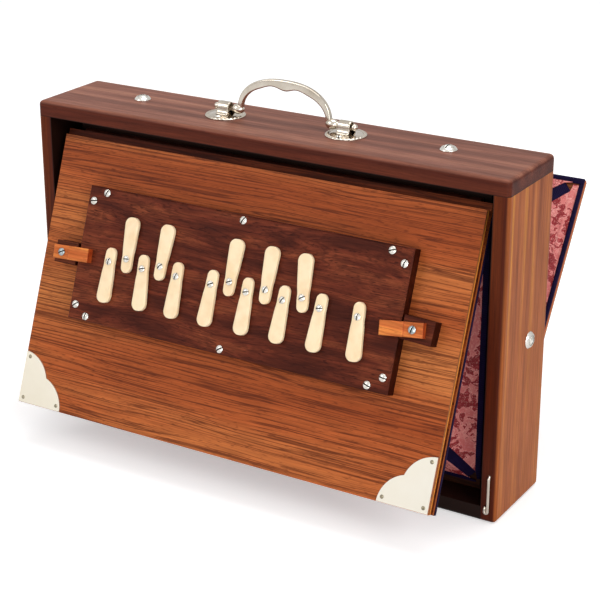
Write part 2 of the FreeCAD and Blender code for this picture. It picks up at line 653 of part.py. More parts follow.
def stop(name, x, z, way):
    body = body_from(name + "_body", "XZ_Plane", stop_outline, "Dims.stop_thick", False)
    bore = add_sketch(body, name + "_bore", "XZ_Plane")
    bore.addGeometry(Part.Circle(Vector(), Vector(0, 0, 1), dim("pivot_radius")))
    bore.addConstraint(Sketcher.Constraint("Coincident", 0, 3, -1, 1))
    named(bore, "Radius", (0,), dim("pivot_radius"), "bore", "Dims.pivot_radius + Dims.running_fit")
    pocket = body.newObject("PartDesign::Pocket", name + "_pocket")
    pocket.Profile = bore
    pocket.Type = "ThroughAll"
    pocket.Midplane = True
    doc.recompute()
    tip = body.Tip
    for end, way_z in (("wide", 1), ("narrow", -1)):
        corners = [f"Edge{i}" for i, edge in enumerate(tip.Shape.Edges, 1)
                   if edge.BoundBox.YLength > 0.9 * dim("stop_thick") and abs(mid(edge).x) > dim("stop_narrow") / 3
                   and mid(edge).z * way_z > dim("stop_short") / 2]
        fillet = body.newObject("PartDesign::Fillet", f"{name}_{end}_corners")
        fillet.Base = (tip, corners)
        fillet.setExpression("Radius", f"Dims.stop_{end}_corner")
        doc.recompute()
        tip = fillet
    face_y = -dim("stop_thick")
    rim = [f"Edge{i}" for i, edge in enumerate(fillet.Shape.Edges, 1)
           if near(mid(edge).y, face_y) and near(edge.BoundBox.YLength, 0)
           and mid(edge).Length > 2 * dim("pivot_radius")]
    bevel = body.newObject("PartDesign::Chamfer", name + "_bevel")
    bevel.Base = (fillet, rim[:1])
    bevel.setExpression("Size", "Dims.stop_bevel")
    spin = Rotation(Vector(0, 1, 0), (0 if way > 0 else 180) - dim("stop_tilt"))
    local = Placement(Vector(x, plate_out - dim("slip_gap"), z), spin)
    keep(name, body, front_moving.multiply(local))


def board_screws():
    """Stop plate screws, pivot screws and turn button screws: round slotted heads."""
    head, height = dim("head_radius"), dim("head_height")
    outward = (0, -1, 0)
    screw = round_head_screw(head, height, dim("plate_screw_radius"), dim("plate_thick") + 3.5, 0.9)
    places = [seated((x, plate_out, z), outward, 37 * i) for i, (x, z) in enumerate(plate_screw_places())]
    copies("stop_plate_screws", screw, places, front_moving)

    lift = 2 * dim("slip_gap") + dim("stop_thick")
    pivot = round_head_screw(0.85 * head, height, dim("pivot_radius"), lift + dim("plate_thick") - 2, 0.9)
    places = [seated((x, plate_out - lift, z), outward, 90 + 23 * i)
              for i, (name, x, z, way) in enumerate(stop_layout())]
    copies("stop_pivot_screws", pivot, places, front_moving)

    lift = 2 * dim("slip_gap") + dim("button_thin")
    pin = round_head_screw(dim("button_head"), height, dim("pivot_radius"), lift + dim("plate_thick") + 3, 0.9)
    places = [seated((x, plate_out - lift, button_z), outward, 50 * i + 20) for i, x in enumerate(button_x())]
    copies("turn_button_screws", pin, places, front_moving)


def button_x():
    """Screws of the left and the right turn button."""
    return [plate_x - dim("button_apart") / 2, plate_x + dim("button_apart") / 2]


def turn_block(label, side, tilt):
    """Spacer block beside the stop plate, as thick as the plate, a little askew."""
    length = dim(f"{label[11:]}_block")
    wood = block(label + "_wood", (f"Dims.{label[11:]}_block", "Dims.plate_thick", "Dims.block_height"),
                 (-length / 2, plate_out, -dim("block_height") / 2))
    middle = plate_x + side * (dim("plate_width") / 2 + dim("block_gap") + length / 2)
    wood = group(label + "_turned", [wood])
    wood.Placement = Placement(Vector(middle, 0, button_z), Rotation(Vector(0, 1, 0), tilt))
    hole = rod(label + "_hole", "Dims.pivot_radius + Dims.wood_fit", "Dims.plate_thick + 2",
               (plate_x + side * dim("button_apart") / 2, plate_out - 1, button_z), (0, 1, 0))
    keep(label, cut(label + "_drilled", wood, [hole]), front_moving)


def turn_button(label, x, toward, tilt):
    """Stepped wooden button that turns on its screw and holds the stop plate's edge."""
    long_end, short_end = dim("button_long"), -dim("button_short")
    wide, thick = dim("button_wide") / 2, dim("button_thick")
    wood = Part.makeBox(long_end - short_end, thick, 2 * wide, Vector(short_end, -thick, -wide))
    fall = thick - dim("button_thin")
    recess = Part.makeBox(dim("button_step") - short_end + 1, fall + 1, 2 * wide + 2,
                          Vector(short_end - 1, -thick - 1, -wide - 1))
    hole = Part.makeCylinder(dim("pivot_radius") + dim("running_fit"), thick + 2,
                             Vector(0, 1, 0), Vector(0, -1, 0))
    wood = wood.cut(recess).cut(hole)
    top = [edge for edge in wood.Edges if near(edge.BoundBox.YLength, 0) and mid(edge).y < -0.5 * thick
           and edge.BoundBox.DiagonalLength > wide * 1.5]
    wood = wood.makeChamfer(0.35, top)
    spin = Rotation(Vector(0, 1, 0), tilt + (0 if toward > 0 else 180))
    local = Placement(Vector(x, plate_out - dim("slip_gap"), button_z), spin)
    keep(label, solid_feature(label, wood), front_moving.multiply(local))


def corner_sheet(side):
    """Two convex lobes that meet in a cusp, on the panel's lower corner."""
    corner_x = dim("panel_width") / 2 - dim("corner_inset")
    corner_z = panel_low + dim("corner_inset")
    arm, cusp = dim("corner_arm"), dim("corner_cusp")

    def point(a, b):
        return Vector(side * (corner_x - a), panel_out, corner_z + b)

    centre, radius = arm - cusp + 0.5, cusp - 0.5
    lobe, rise = centre + 0.72 * radius, 0.69 * radius
    edges = [Part.makeLine(point(0, 0), point(arm, 0)),
             Part.Arc(point(arm, 0), point(lobe, rise), point(cusp, cusp)).toShape(),
             Part.Arc(point(cusp, cusp), point(rise, lobe), point(0, arm)).toShape(),
             Part.makeLine(point(0, arm), point(0, 0))]
    face = Part.Face(Part.Wire(edges))
    return face.extrude(Vector(0, -dim("corner_thick"), 0))


def nail_places():
    """Three nails through each corner plate, as x and z."""
    edge_x = dim("panel_width") / 2 - dim("nail_edge")
    far_x = dim("panel_width") / 2 - dim("nail_reach")
    low = panel_low + dim("nail_edge")
    high = panel_low + dim("nail_reach")
    return [(side * x, z) for side in (-1, 1) for x, z in ((edge_x, low), (edge_x, high), (far_x, low))]


def corner_plates():
    for label, side in (("corner_plate_left", -1), ("corner_plate_right", 1)):
        sheet_metal = corner_sheet(side)
        for x, z in nail_places():
            hole = Part.makeCylinder(dim("nail_radius") + dim("wood_fit"), 4,
                                     Vector(x, panel_out - 3, z), Vector(0, 1, 0))
            if x * side > 0:
                sheet_metal = sheet_metal.cut(hole)
        keep(label, solid_feature(label, sheet_metal), front_moving)
    nail = round_head_screw(dim("nail_head"), 0.8, dim("nail_radius"), dim("nail_length"))
    places = [seated((x, panel_out - dim("corner_thick"), z), (0, -1, 0)) for x, z in nail_places()]
    copies("corner_plate_nails", nail, places, front_moving)


def reeds():
    """A brass reed plate, its tongue and its rivet behind each sound hole."""
    width, length, thick = dim("reed_width"), dim("reed_length"), dim("reed_thick")
    seat = -half_fold
    slot_low, slot_high = -0.3 * length, 0.26 * length
    plate = Part.makeBox(width, thick, length, Vector(-width / 2, 0, -length / 2))
    slot = Part.makeBox(dim("reed_slot"), thick + 2, slot_high - slot_low,
                        Vector(-dim("reed_slot") / 2, -1, slot_low))
    rivet_z = slot_high + 2.4
    rivet_hole = Part.makeCylinder(dim("rivet_radius") + dim("wood_fit"), thick + 2,
                                   Vector(0, -1, rivet_z), Vector(0, 1, 0))
    tongue_w = dim("reed_slot") - 2 * dim("tongue_play")
    tongue_low = slot_low + dim("tongue_play")
    tongue = Part.makeBox(tongue_w, dim("tongue_thick"), rivet_z + 1.6 - tongue_low,
                          Vector(-tongue_w / 2, thick, tongue_low))
    root = Part.makeBox(4.4, dim("tongue_thick"), 3.4, Vector(-2.2, thick, rivet_z - 1.6))
    tongue = tongue.fuse(root).removeSplitter().cut(rivet_hole.copy().translated(Vector(0, thick, 0)))
    rivet = Part.makeCylinder(dim("rivet_radius"), thick + dim("tongue_thick") - 0.3,
                              Vector(0, 0.3, rivet_z), Vector(0, 1, 0))
    rivet_head = Part.makeCylinder(1.6 * dim("rivet_radius"), 0.5,
                                   Vector(0, thick + dim("tongue_thick"), rivet_z), Vector(0, 1, 0))
    rivet = rivet.fuse(rivet_head).removeSplitter()
    places = []
    for name, x, z, way in stop_layout():
        places.append(Placement(Vector(x, seat, z + way * dim("sound_reach")), Rotation()))
    copies("reed_plates", plate.cut(slot).cut(rivet_hole), places, front_moving)
    copies("reed_tongues", tongue, places, front_moving)
    copies("reed_rivets", rivet, places, front_moving)


def back_board():
    """The back board's frame has its length along -Z and its outside on -Y too."""
    panel = layer("back_panel_body", "Dims.panel_width", "Dims.panel_height", "Dims.panel_thick")
    panel.Placement.Base = Vector(0, panel_out, (panel_top + panel_low) / 2)
    liner = layer("back_liner_body", "Dims.panel_width + 2 * Dims.liner_side",
                  "Dims.panel_height + Dims.liner_hinge", "Dims.liner_thick")
    liner.Placement.Base = Vector(0, liner_out, panel_low / 2)
    panel_tools, liner_tools = [], []
    for i, x in enumerate(intake_x()):
        start = (x, panel_out - 1, -dim("intake_up"))
        length = "Dims.panel_thick + Dims.liner_thick + 2"
        panel_tools.append(rod(f"panel_intake_{i}", "Dims.intake_radius", length, start, (0, 1, 0)))
        liner_tools.append(rod(f"liner_intake_{i}", "Dims.intake_radius", length, start, (0, 1, 0)))
    keep("back_panel", cut("back_panel_bored", panel, panel_tools), back_moving)
    keep("back_inner_board", cut("back_liner_bored", liner, liner_tools), back_moving)


def intake_x():
    return [k * dim("intake_apart") for k in (-1, 0, 1)]


def valve_flaps():
    """Leather flaps that hang in front of the transfer holes and inside the intake holes."""
    over, thick = dim("flap_over"), dim("flap_thick")
    gap = dim("slip_gap")
    width = "Dims.transfer_apart + 2 * Dims.transfer_radius + 2 * Dims.flap_over"
    low_x = -dim("transfer_apart") / 2 - dim("transfer_radius") - over
    flap = block("transfer_leather", (width, "Dims.flap_thick", "2 * Dims.transfer_radius + 2 * Dims.flap_over"),
                 (low_x, centre_front - gap - thick, dim("transfer_height") - dim("transfer_radius") - over))
    keep("transfer_valve_flap", flap)
    width = "2 * Dims.intake_apart + 2 * Dims.intake_radius + 2 * Dims.flap_over"
    low_x = -dim("intake_apart") - dim("intake_radius") - over
    flap = block("intake_leather", (width, "Dims.flap_thick", "2 * Dims.intake_radius + 2 * Dims.flap_over"),
                 (low_x, -half_fold + gap, -dim("intake_up") - dim("intake_radius") - over))
    keep("intake_valve_flap", group("intake_valve_flap", [flap]), back_moving)


def wire_hook():
    """Round wire keeper: a pin into the case's edge, a straight drop and a small bend."""
    wire = dim("hook_wire")
    out_y = -half_depth - wire - 0.5
    bend = 2 * wire
    x, z = dim("hook_x"), dim("hook_z")
    root = Vector(x, -half_depth + dim("hook_depth"), z)
    turn_in, turn_out = Vector(x, out_y + bend, z), Vector(x, out_y, z - bend)
    turn_mid = Vector(x, out_y + bend * (1 - math.sqrt(0.5)), z - bend * (1 - math.sqrt(0.5)))
    low = Vector(x, out_y, z - dim("hook_drop"))
    curl = dim("hook_bend")
    path = Part.Wire([Part.makeLine(root, turn_in), Part.Arc(turn_in, turn_mid, turn_out).toShape(),
                      Part.makeLine(turn_out, low),
                      Part.Arc(low, low + Vector(-curl, 0, -curl), low + Vector(-2 * curl, 0, 0)).toShape(),
                      Part.makeLine(low + Vector(-2 * curl, 0, 0), low + Vector(-2 * curl, 0, 3))])
    ring = Part.Wire(Part.makeCircle(wire, root, Vector(0, 1, 0)))
    keep("front_hook", solid_feature("front_hook", path.makePipeShell([ring], True, False)))


def rib_outlines(rib):
    """Side rib and end rib of one bellows, folded flat, as x and z outlines."""
    length = dim("rib_length")
    slope = rib / (length - rib)
    fold, mitre, start = dim("rib_fold_cut"), dim("rib_mitre_cut"), dim("rib_start")
    meet = (length - mitre + fold) / (1 + slope)
    side = [(0, -start), (-(start * slope - fold), -start), (-(meet * slope - fold), -meet), (0, mitre - length)]
    edge_x = dim("panel_width") / 2 - dim("rib_inset")
    high = rib - fold
    end = [(mitre - edge_x, 0), (edge_x - mitre, 0), (edge_x - mitre - high, high), (high + mitre - edge_x, high)]
    return side, end


def card(outline, low_y, high_y):
    points = [Vector(x, low_y, z) for x, z in outline]
    face = Part.Face(Part.makePolygon(points + points[:1]))
    return face.extrude(Vector(0, high_y - low_y, 0))


def bellows(prefix, fixed, moving, rib, side_tilt, end_tilt):
    """Six rigid card ribs: fixed ones hinge on the case side, board ones on the board."""
    side, end = rib_outlines(rib)
    edge_x = dim("panel_width") / 2 - dim("rib_inset")
    axis_y = half_fold - dim("rib_clear")
    thick = dim("rib_thick")
    z_axis = Vector(0, 0, 1)
    for kind, base, way in (("case", fixed, 1), ("board", moving, -1)):
        for hand, sign in (("left", -1), ("right", 1)):
            flat = card([(sign * x, z) for x, z in side], -way * thick, 0)
            hinge = Placement(Vector(sign * edge_x, way * axis_y, 0), Rotation(z_axis, sign * way * side_tilt))
            label = f"{prefix}_rib_{hand}_{kind}"
            keep(label, solid_feature(label, flat), base.multiply(hinge))
        flat = card(end, -way * thick, 0)
        hinge = Placement(Vector(0, way * axis_y, -dim("rib_length")), Rotation(x_axis, way * end_tilt))
        label = f"{prefix}_rib_end_{kind}"
        keep(label, solid_feature(label, flat), base.multiply(hinge))


case_top()
case_bottom()
case_side("case_side_left", -1)
case_side("case_side_right", 1)
centre_board()
bellows_frames()
hinge_roll("front_hinge_roll", front_fixed)
hinge_roll("back_hinge_roll", back_fixed)
case_screws()
keep("handle_bases", group("handle_bases", [handle_base(f"base_{i}", x) for i, x in enumerate(handle_base_x())]))
handle_bail()
handle_screws()
front_panel()
front_liner()
stop_plate()
for stop_name, stop_x, stop_z, stop_way in stop_layout():
    stop(stop_name, stop_x, stop_z, stop_way)
board_screws()
turn_block("turn_block_left", -1, 0)
turn_block("turn_block_right", 1, 2.5)
turn_button("turn_button_left", button_x()[0], 1, -3)
turn_button("turn_button_right", button_x()[1], -1, -7)
corner_plates()
reeds()
back_board()
valve_flaps()
wire_hook()
bellows("front", front_fixed, front_moving, dim("front_rib"), dim("front_side_tilt"), dim("front_end_tilt"))
bellows("back", back_fixed, back_moving, dim("back_rib"), dim("back_side_tilt"), dim("back_end_tilt"))

doc.recompute()

for item in doc.Objects:
    if "Invalid" in item.State or "Error" in item.State:
        raise RuntimeError(f"{item.Name} did not compute: {item.State}")
for label, item in nodes.items():
    if item.Shape.isNull() or not item.Shape.isValid():
        raise RuntimeError(f"{label} has no valid shape")
    if not item.Shape.Solids:
        raise RuntimeError(f"{label} holds no solid")

os.makedirs("parts", exist_ok=True)
for label, item in nodes.items():
    item.Shape.exportStep(f"parts/{label}.step")
print(len(nodes), "sub-parts")
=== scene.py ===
# %% [markdown]
# # Shruti box
# A shruti box is a small drone organ: a flat teak case with a bellows board on its front and
# another on its back, and thirteen cream stops that let air through to brass reeds. The
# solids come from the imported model, which stays as it is. Here they get their finishes,
# and the pieces that solids show poorly are made as finer surfaces: the cloth and paper of
# the two bellows, the handle, the slotted screws, the stops and the hook.

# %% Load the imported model
import math
import bmesh
import bpy
import numpy as np
from mathutils import Matrix, Vector


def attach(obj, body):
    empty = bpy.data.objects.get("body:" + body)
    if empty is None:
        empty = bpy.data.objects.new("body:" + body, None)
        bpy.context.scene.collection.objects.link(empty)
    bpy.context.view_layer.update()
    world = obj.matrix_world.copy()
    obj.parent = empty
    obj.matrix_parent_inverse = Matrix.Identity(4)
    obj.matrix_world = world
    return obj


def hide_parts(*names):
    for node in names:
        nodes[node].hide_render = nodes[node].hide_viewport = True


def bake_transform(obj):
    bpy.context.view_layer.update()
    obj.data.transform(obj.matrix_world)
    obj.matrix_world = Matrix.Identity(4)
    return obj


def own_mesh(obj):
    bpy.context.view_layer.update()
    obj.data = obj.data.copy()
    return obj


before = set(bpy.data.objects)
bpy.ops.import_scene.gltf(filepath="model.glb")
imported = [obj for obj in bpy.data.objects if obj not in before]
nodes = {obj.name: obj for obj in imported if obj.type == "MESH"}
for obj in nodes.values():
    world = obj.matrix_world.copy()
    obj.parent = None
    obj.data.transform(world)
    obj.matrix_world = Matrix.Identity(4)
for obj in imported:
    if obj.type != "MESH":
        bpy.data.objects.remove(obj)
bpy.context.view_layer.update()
MM = 0.001

# %% [markdown]
# ## Camera
# The photograph looks down on the box from its right. Azimuth, elevation, roll and focal
# length were solved from the corners of the case, so they are written here as numbers.

# %% Camera
AZIMUTH, ELEVATION, ROLL = 31.158, 21.598, -0.043
FOCAL_PX, IMAGE_PX, SENSOR_MM = 1729.90, 600, 36.0
EYE_MM = Vector((646.39, -1045.51, 606.5))


def in_scene(name, data):
    """A new object of the scene that shows data."""
    thing = bpy.data.objects.new(name, data)
    bpy.context.scene.collection.objects.link(thing)
    return thing


def camera_axes(azimuth, elevation, roll):
    """Right, up and backward directions of a camera that looks at the front from the right."""
    a, e, r = (math.radians(v) for v in (azimuth, elevation, roll))
    back = Vector((math.sin(a) * math.cos(e), -math.cos(a) * math.cos(e), math.sin(e)))
    right = Vector((math.cos(a), math.sin(a), 0))
    up = back.cross(right)
    return math.cos(r) * right + math.sin(r) * up, math.cos(r) * up - math.sin(r) * right, back


camera_data = bpy.data.cameras.new("photo_camera")
camera = in_scene("photo_camera", camera_data)
camera_data.sensor_width = SENSOR_MM
camera_data.lens = FOCAL_PX / IMAGE_PX * SENSOR_MM
camera_data.clip_end = 20
turn = Matrix(camera_axes(AZIMUTH, ELEVATION, ROLL)).transposed()
camera.matrix_world = Matrix.Translation(EYE_MM * MM) @ turn.to_4x4()
bpy.context.scene.camera = camera
print("lens", round(camera_data.lens, 1), "mm")

# %% [markdown]
# ## Helpers for materials
# Colours are written as sRGB hex values, the way a colour picker shows them, and one
# function turns them to the linear values that shaders use. Another adds a node with its
# settings and links, so that each finish reads as a short list of steps.

# %% Colour helper
def linear(hex_colour):
    """sRGB hex to linear RGBA: c / 12.92 below 0.04045, else ((c + 0.055) / 1.055) ** 2.4."""
    srgb = np.array([int(hex_colour[i:i + 2], 16) for i in (1, 3, 5)]) / 255
    rgb = np.where(srgb <= 0.04045, srgb / 12.92, ((srgb + 0.055) / 1.055) ** 2.4)
    return (*rgb.tolist(), 1.0)


print("mid grey is", [round(v, 3) for v in linear("#808080")])


# %% Node helper
def add(tree, kind, out=0, stops=(), **values):
    """Adds a shader node, or fills one that is there, and returns one of its outputs.

    kind is the node's type in Blender, less its first word, ShaderNode. Lower-case names are
    the node's settings, capitalised ones its sockets, and i0, i1 and so on its sockets by
    number. stops are a colour ramp's (position, hex colour) pairs."""
    node = tree.nodes.new("ShaderNode" + kind) if isinstance(kind, str) else kind
    for _ in stops[2:]:
        node.color_ramp.elements.new(0.5)
    for element, (position, colour) in zip(node.color_ramp.elements if stops else (), stops):
        element.position, element.color = position, linear(colour)
    for key, value in values.items():
        numbered = key[0] == "i" and key[1:].isdigit()
        if key[0].islower() and not numbered:
            setattr(node, key, value)
            continue
        socket = node.inputs[int(key[1:])] if numbered else node.inputs[key.replace("_", " ")]
        if isinstance(value, bpy.types.NodeSocket):
            tree.links.new(value, socket)
        else:
            socket.default_value = linear(value) if isinstance(value, str) else value
    return node.outputs[out] if len(node.outputs) else None


def find(tree, kind):
    """The tree's node of one type."""
    return next(node for node in tree.nodes if node.type == kind)


def new_material(name):
    """A node material, its tree, its Principled shader and the place on the object."""
    material = bpy.data.materials.new(name)
    material.use_nodes = True
    tree = material.node_tree
    return material, tree, find(tree, "BSDF_PRINCIPLED"), add(tree, "TexCoord", "Object")


# %% [markdown]
# ## Teak and rosewood
# Sawn boards show four things. Broad bands are the tree's slow change of colour. Growth
# lines run along the grain, 2 to 4 mm apart and about half a millimetre wide. Pores are
# short dark dashes that oil doesn't fill. Edges drink more oil than faces, so they are
# darker, and the boards of the bellows are of plywood, whose plies show as stripes. Each
# pattern is a noise stretched along the grain, in millimetres of the board's own frame, so
# a tilted board's grain still follows its edges.

# %% Frames of the boards
HINGE = {"front": Vector((0, -16.1, 232.4)), "back": Vector((0, 23.7, 25.0))}
OPENING = {"front": 21.0, "back": 32.5}
HALF_FOLD = 2.3


def board_frame(bellows, layer="board"):
    """Row frame from a board's own: x across, +z up the board, the fold at y = 0, in mm."""
    angle = (0.0 if bellows == "front" else 180.0) - (OPENING[bellows] if layer == "board" else 0.0)
    return Matrix.Translation(HINGE[bellows]) @ Matrix.Rotation(math.radians(angle), 4, "X")


CASE_FRAME = Matrix.Identity(4)
print("boards open", OPENING)

# %% Wood finish
def wood(name, grain, face, dark, middle, light, line, edge="#FFFFFF", own=CASE_FRAME,
         band=(16, 400), lines=4.2, line_share=0.6, warp=2.0, dapple=0.0, pores=0.5,
         specular=0.12, plain_below=None, plies=None, inside=None, seed=0.0):
    """Sawn wood. grain and face are axes of the board's frame: along the fibres, and out of
    its broad side. band is the width and length of the colour bands and lines the distance
    between growth lines, in mm. Shares from 0 to 1 set how dark the lines, the dapple and
    the pores are. plain_below are the heights between which the bands gain their contrast.
    plies are colours of layers across the board's thickness, and inside is the plane, axis
    and mm, behind which a case board is painted near black: painted shade of the case's inside."""
    material, tree, shader, place = new_material(name)
    inverse = own.inverted()
    turn_x = math.atan2(inverse[2][1], inverse[1][1])
    place = add(tree, "Mapping", Vector=place, Scale=(1000,) * 3, Rotation=(turn_x, 0, 0),
                Location=tuple(inverse.translation))
    normal = add(tree, "Mapping", vector_type="VECTOR", Rotation=(turn_x, 0, 0),
                 Vector=add(tree, "TexCoord", "Normal"))

    def noise(width, length, detail, vector, shift=(0, 0, 0), **settings):
        """Noise with cells of width mm across the grain and length mm along it."""
        scale = [1 / width] * 3
        scale["XYZ".index(grain)] = 1 / length
        mapped = add(tree, "Mapping", Vector=vector, Scale=scale, Location=shift)
        return add(tree, "TexNoise", Scale=1.0, Detail=detail, Vector=mapped, **settings)

    # The fibres wander: a slow noise moves the pattern sideways by up to warp millimetres
    slow = noise(26, 150, 1.0, place, (seed, seed, seed))
    drift = add(tree, "Math", operation="MULTIPLY_ADD", i0=slow, i1=4 * warp, i2=-2 * warp)
    wavy = add(tree, "VectorMath", operation="ADD", i0=place, i1=drift)

    bands = noise(*band, 2.0, wavy, (seed * 3, seed * 5, seed * 7))
    if plain_below is not None:
        height = add(tree, "SeparateXYZ", "Z", Vector=place)
        share = add(tree, "MapRange", Value=height, From_Min=plain_below[0],
                    From_Max=plain_below[1], To_Min=0.3, To_Max=1.0)
        centred = add(tree, "Math", operation="SUBTRACT", i0=bands, i1=0.5)
        bands = add(tree, "Math", operation="MULTIPLY_ADD", i0=centred, i1=share, i2=0.5)
    body = add(tree, "ValToRGB", Fac=bands, stops=((0.34, dark), (0.5, middle), (0.66, light)))

    # Growth lines: a dark ridge, half a millimetre wide, where a long noise crosses 0.5
    growth = noise(lines, lines * 170, 2.0, wavy, (seed, 0, seed * 2))
    off = add(tree, "Math", operation="SUBTRACT", i0=growth, i1=0.5)
    ridge = add(tree, "Math", operation="ABSOLUTE", i0=off)
    crest = add(tree, "MapRange", Value=ridge, From_Min=0.012, From_Max=0.055,
                To_Min=line_share, To_Max=0.0)
    fibres = noise(1.3, 40, 3.0, wavy, Roughness=0.65)
    shade = add(tree, "MapRange", Value=fibres, From_Min=0.3, From_Max=0.7,
                To_Min=0.70, To_Max=1.26)
    toned = add(tree, "VectorMath", operation="SCALE", i0=body, Scale=shade)
    lined = add(tree, "Mix", 2, data_type="RGBA", i0=crest, i6=toned, i7=line)

    # Pores: dashes 7 mm long, drawn nearly 1 mm wide, so that they show
    dashes = noise(0.9, 7.0, 1.0, wavy)
    pore = add(tree, "MapRange", Value=dashes, From_Min=0.30, From_Max=0.40,
               To_Min=pores, To_Max=0.0)
    pored = add(tree, "Mix", 2, data_type="RGBA", i0=pore, i6=lined, i7=line)
    if dapple:
        cloud = noise(13, 24, 5.0, wavy, Roughness=0.65, Distortion=1.0)
        patch = add(tree, "MapRange", Value=cloud, From_Min=0.45, From_Max=0.62,
                    To_Min=0.0, To_Max=dapple)
        pored = add(tree, "Mix", 2, data_type="RGBA", i0=patch, i6=pored, i7=dark)

    # Edges and ends: the share of the normal that isn't the face's
    facing = add(tree, "SeparateXYZ", face, Vector=normal)
    level = add(tree, "Math", operation="ABSOLUTE", i0=facing)
    side = add(tree, "MapRange", Value=level, From_Min=0.35, From_Max=0.8, To_Min=1.0, To_Max=0.0)
    if plies:
        depth = add(tree, "SeparateXYZ", "Y", Vector=place)
        across = add(tree, "MapRange", Value=depth, From_Min=plies[0][0], From_Max=plies[0][1])
        layered = add(tree, "ValToRGB", Fac=across, stops=plies[1])
        rim = add(tree, "VectorMath", operation="SCALE", i0=layered, Scale=shade)
    else:
        rim = add(tree, "Mix", 2, data_type="RGBA", blend_type="MULTIPLY", i0=1.0, i6=pored,
                  i7=edge)
    colour = add(tree, "Mix", 2, data_type="RGBA", i0=side, i6=pored, i7=rim)
    # Painted shade: behind the inside plane a case board is painted near black for the shadow inside
    # the case
    if inside:
        plane = add(tree, "SeparateXYZ", inside[0], Vector=place)
        away = add(tree, "Math", operation="ABSOLUTE", i0=plane)
        inner_shade = add(tree, "MapRange", Value=away, From_Min=inside[1], From_Max=inside[1] + 0.8,
                   To_Min=1.0, To_Max=0.0)
        colour = add(tree, "Mix", 2, data_type="RGBA", i0=inner_shade, i6=colour, i7="#1C0C07")
    polish = add(tree, "MapRange", Value=fibres, From_Min=0.3, From_Max=0.7,
                 To_Min=0.51, To_Max=0.39)
    relief = add(tree, "Math", operation="ADD", i0=crest, i1=pore)
    dents = add(tree, "Bump", invert=True, Height=relief, Distance=0.00008, Strength=0.5)
    add(tree, shader, Base_Color=colour, Roughness=polish, Specular_IOR_Level=specular, Normal=dents)
    return material


# %% Woods of the case
# Painted shade: inside darkens the underside of the top and the inner faces of the sides
teak_top = wood("oiled_teak_top", "X", "Z", "#6C3F31", "#865241", "#A06A54", "#55322A", "#A07460",
                band=(14, 420), line_share=0.2, pores=0.3, warp=1.6, inside=("Z", 246.1), seed=3.1)
teak_side = wood("oiled_teak_sides", "Z", "X", "#84421F", "#A2582A", "#CC8436", "#74401F", "#7C5648",
                 band=(10, 500), line_share=0.3, pores=0.25, warp=0.7, plain_below=(120, 190),
                 inside=("X", 188.1), seed=7.7)
# Painted shade: the rails and centre board are painted near black for the shadow deep inside the case
shaded_teak_inner = wood("teak_inside_painted_shade", "X", "Y", "#1C0D08", "#26120A", "#34190E", "#120805", seed=1.9)
print("case woods made")

# %% Woods of the boards
PANEL_PLIES = (-11.8, -7.3), (
    (0.0, "#4A2412"), (0.12, "#A86838"), (0.3, "#94552C"), (0.4, "#3E1C0E"), (0.5, "#E0903C"),
    (0.8, "#D07A30"), (0.9, "#3A1609"), (1.0, "#6B3318"))
LINER_PLIES = (-7.3, -2.3), ((0.0, "#3A1609"), (0.12, "#A85A26"), (0.45, "#8A4420"),
                             (0.52, "#34130A"), (0.75, "#5A2410"), (1.0, "#2A0E08"))
BACK_PLIES = (-7.3, -2.3), ((0.0, "#D07A38"), (0.3, "#B5501E"), (0.55, "#7A3416"),
                            (0.65, "#2E120C"), (1.0, "#24100C"))
PANEL_TEAK = {"band": (44, 600), "lines": 2.7, "line_share": 0.75, "warp": 1.6, "plies": PANEL_PLIES}
front_teak = wood("varnished_teak_front", "X", "Y", "#94451F", "#A65328", "#BC6E3A", "#4E1E0C",
                  own=board_frame("front"), seed=5.3, **PANEL_TEAK)
back_teak = wood("varnished_teak_back", "X", "Y", "#9C4C24", "#AC5B2E", "#C07642", "#5A2510",
                 own=board_frame("back"), seed=15.1, **PANEL_TEAK)
# Painted shade: the front lining is painted darker than the back one for the shadow that the case top
# casts on it
shaded_front_lining = wood("varnished_lining_painted_shade", "X", "Y", "#4A1C0E", "#662C14", "#843C1A", "#2A0E06",
                    own=board_frame("front"), specular=0.06, plies=LINER_PLIES, seed=8.8)
back_lining = wood("varnished_back_lining", "X", "Y", "#6B3319", "#84441F", "#A05A2A", "#3A190C",
                   own=board_frame("back"), plies=BACK_PLIES, seed=11.4)
rosewood = wood("rosewood_plate", "X", "Y", "#431A10", "#642B1B", "#7E3E26", "#2C0E08",
                "#94786C", own=board_frame("front"), band=(12, 70), lines=2.6, line_share=0.5,
                warp=6.0, dapple=0.5, pores=0.75, specular=0.08, seed=2.2)
block_wood = wood("walnut_spacer_blocks", "X", "Y", "#43190F", "#582618", "#6A3520", "#260E08",
                  "#A08478", own=board_frame("front"), band=(8, 60), specular=0.08, seed=6.2)
button_wood = wood("reddish_button_wood", "X", "Y", "#B65C2C", "#CC6F38", "#DE8842", "#9A4A24",
                   "#C89888", own=board_frame("front"), band=(5, 60), lines=2.4,
                   line_share=0.25, warp=0.5, seed=4.4)
print("board woods made")

# %% [markdown]
# ## Resin, metal, paper, cloth and leather
# The stops are cream resin with a soft polish. The handle, corner plates and hook are
# nickel plate, the screws bright steel or zinc plate, and the reeds brass. The ribs are
# card covered in marbled paper, and navy bookbinder's cloth joins them.

# %% Cream resin of the stops
stop_resin, tree, shader, place = new_material("cream_resin_stops")
cloud = add(tree, "TexNoise", Scale=90.0, Detail=3.0, Vector=place)
cream = add(tree, "ValToRGB", Fac=cloud, stops=((0.35, "#EFD2A8"), (0.6, "#F7DFB9")))
grit = add(tree, "TexNoise", Scale=1400.0, Detail=2.0, Vector=place)
wear = add(tree, "Bump", Height=grit, Distance=0.00003, Strength=0.35)
add(tree, shader, Base_Color=cream, Roughness=0.38, IOR=1.5, Specular_IOR_Level=0.4, Normal=wear,
    Subsurface_Weight=0.08, Subsurface_Radius=(0.004, 0.002, 0.001))
print("resin made")


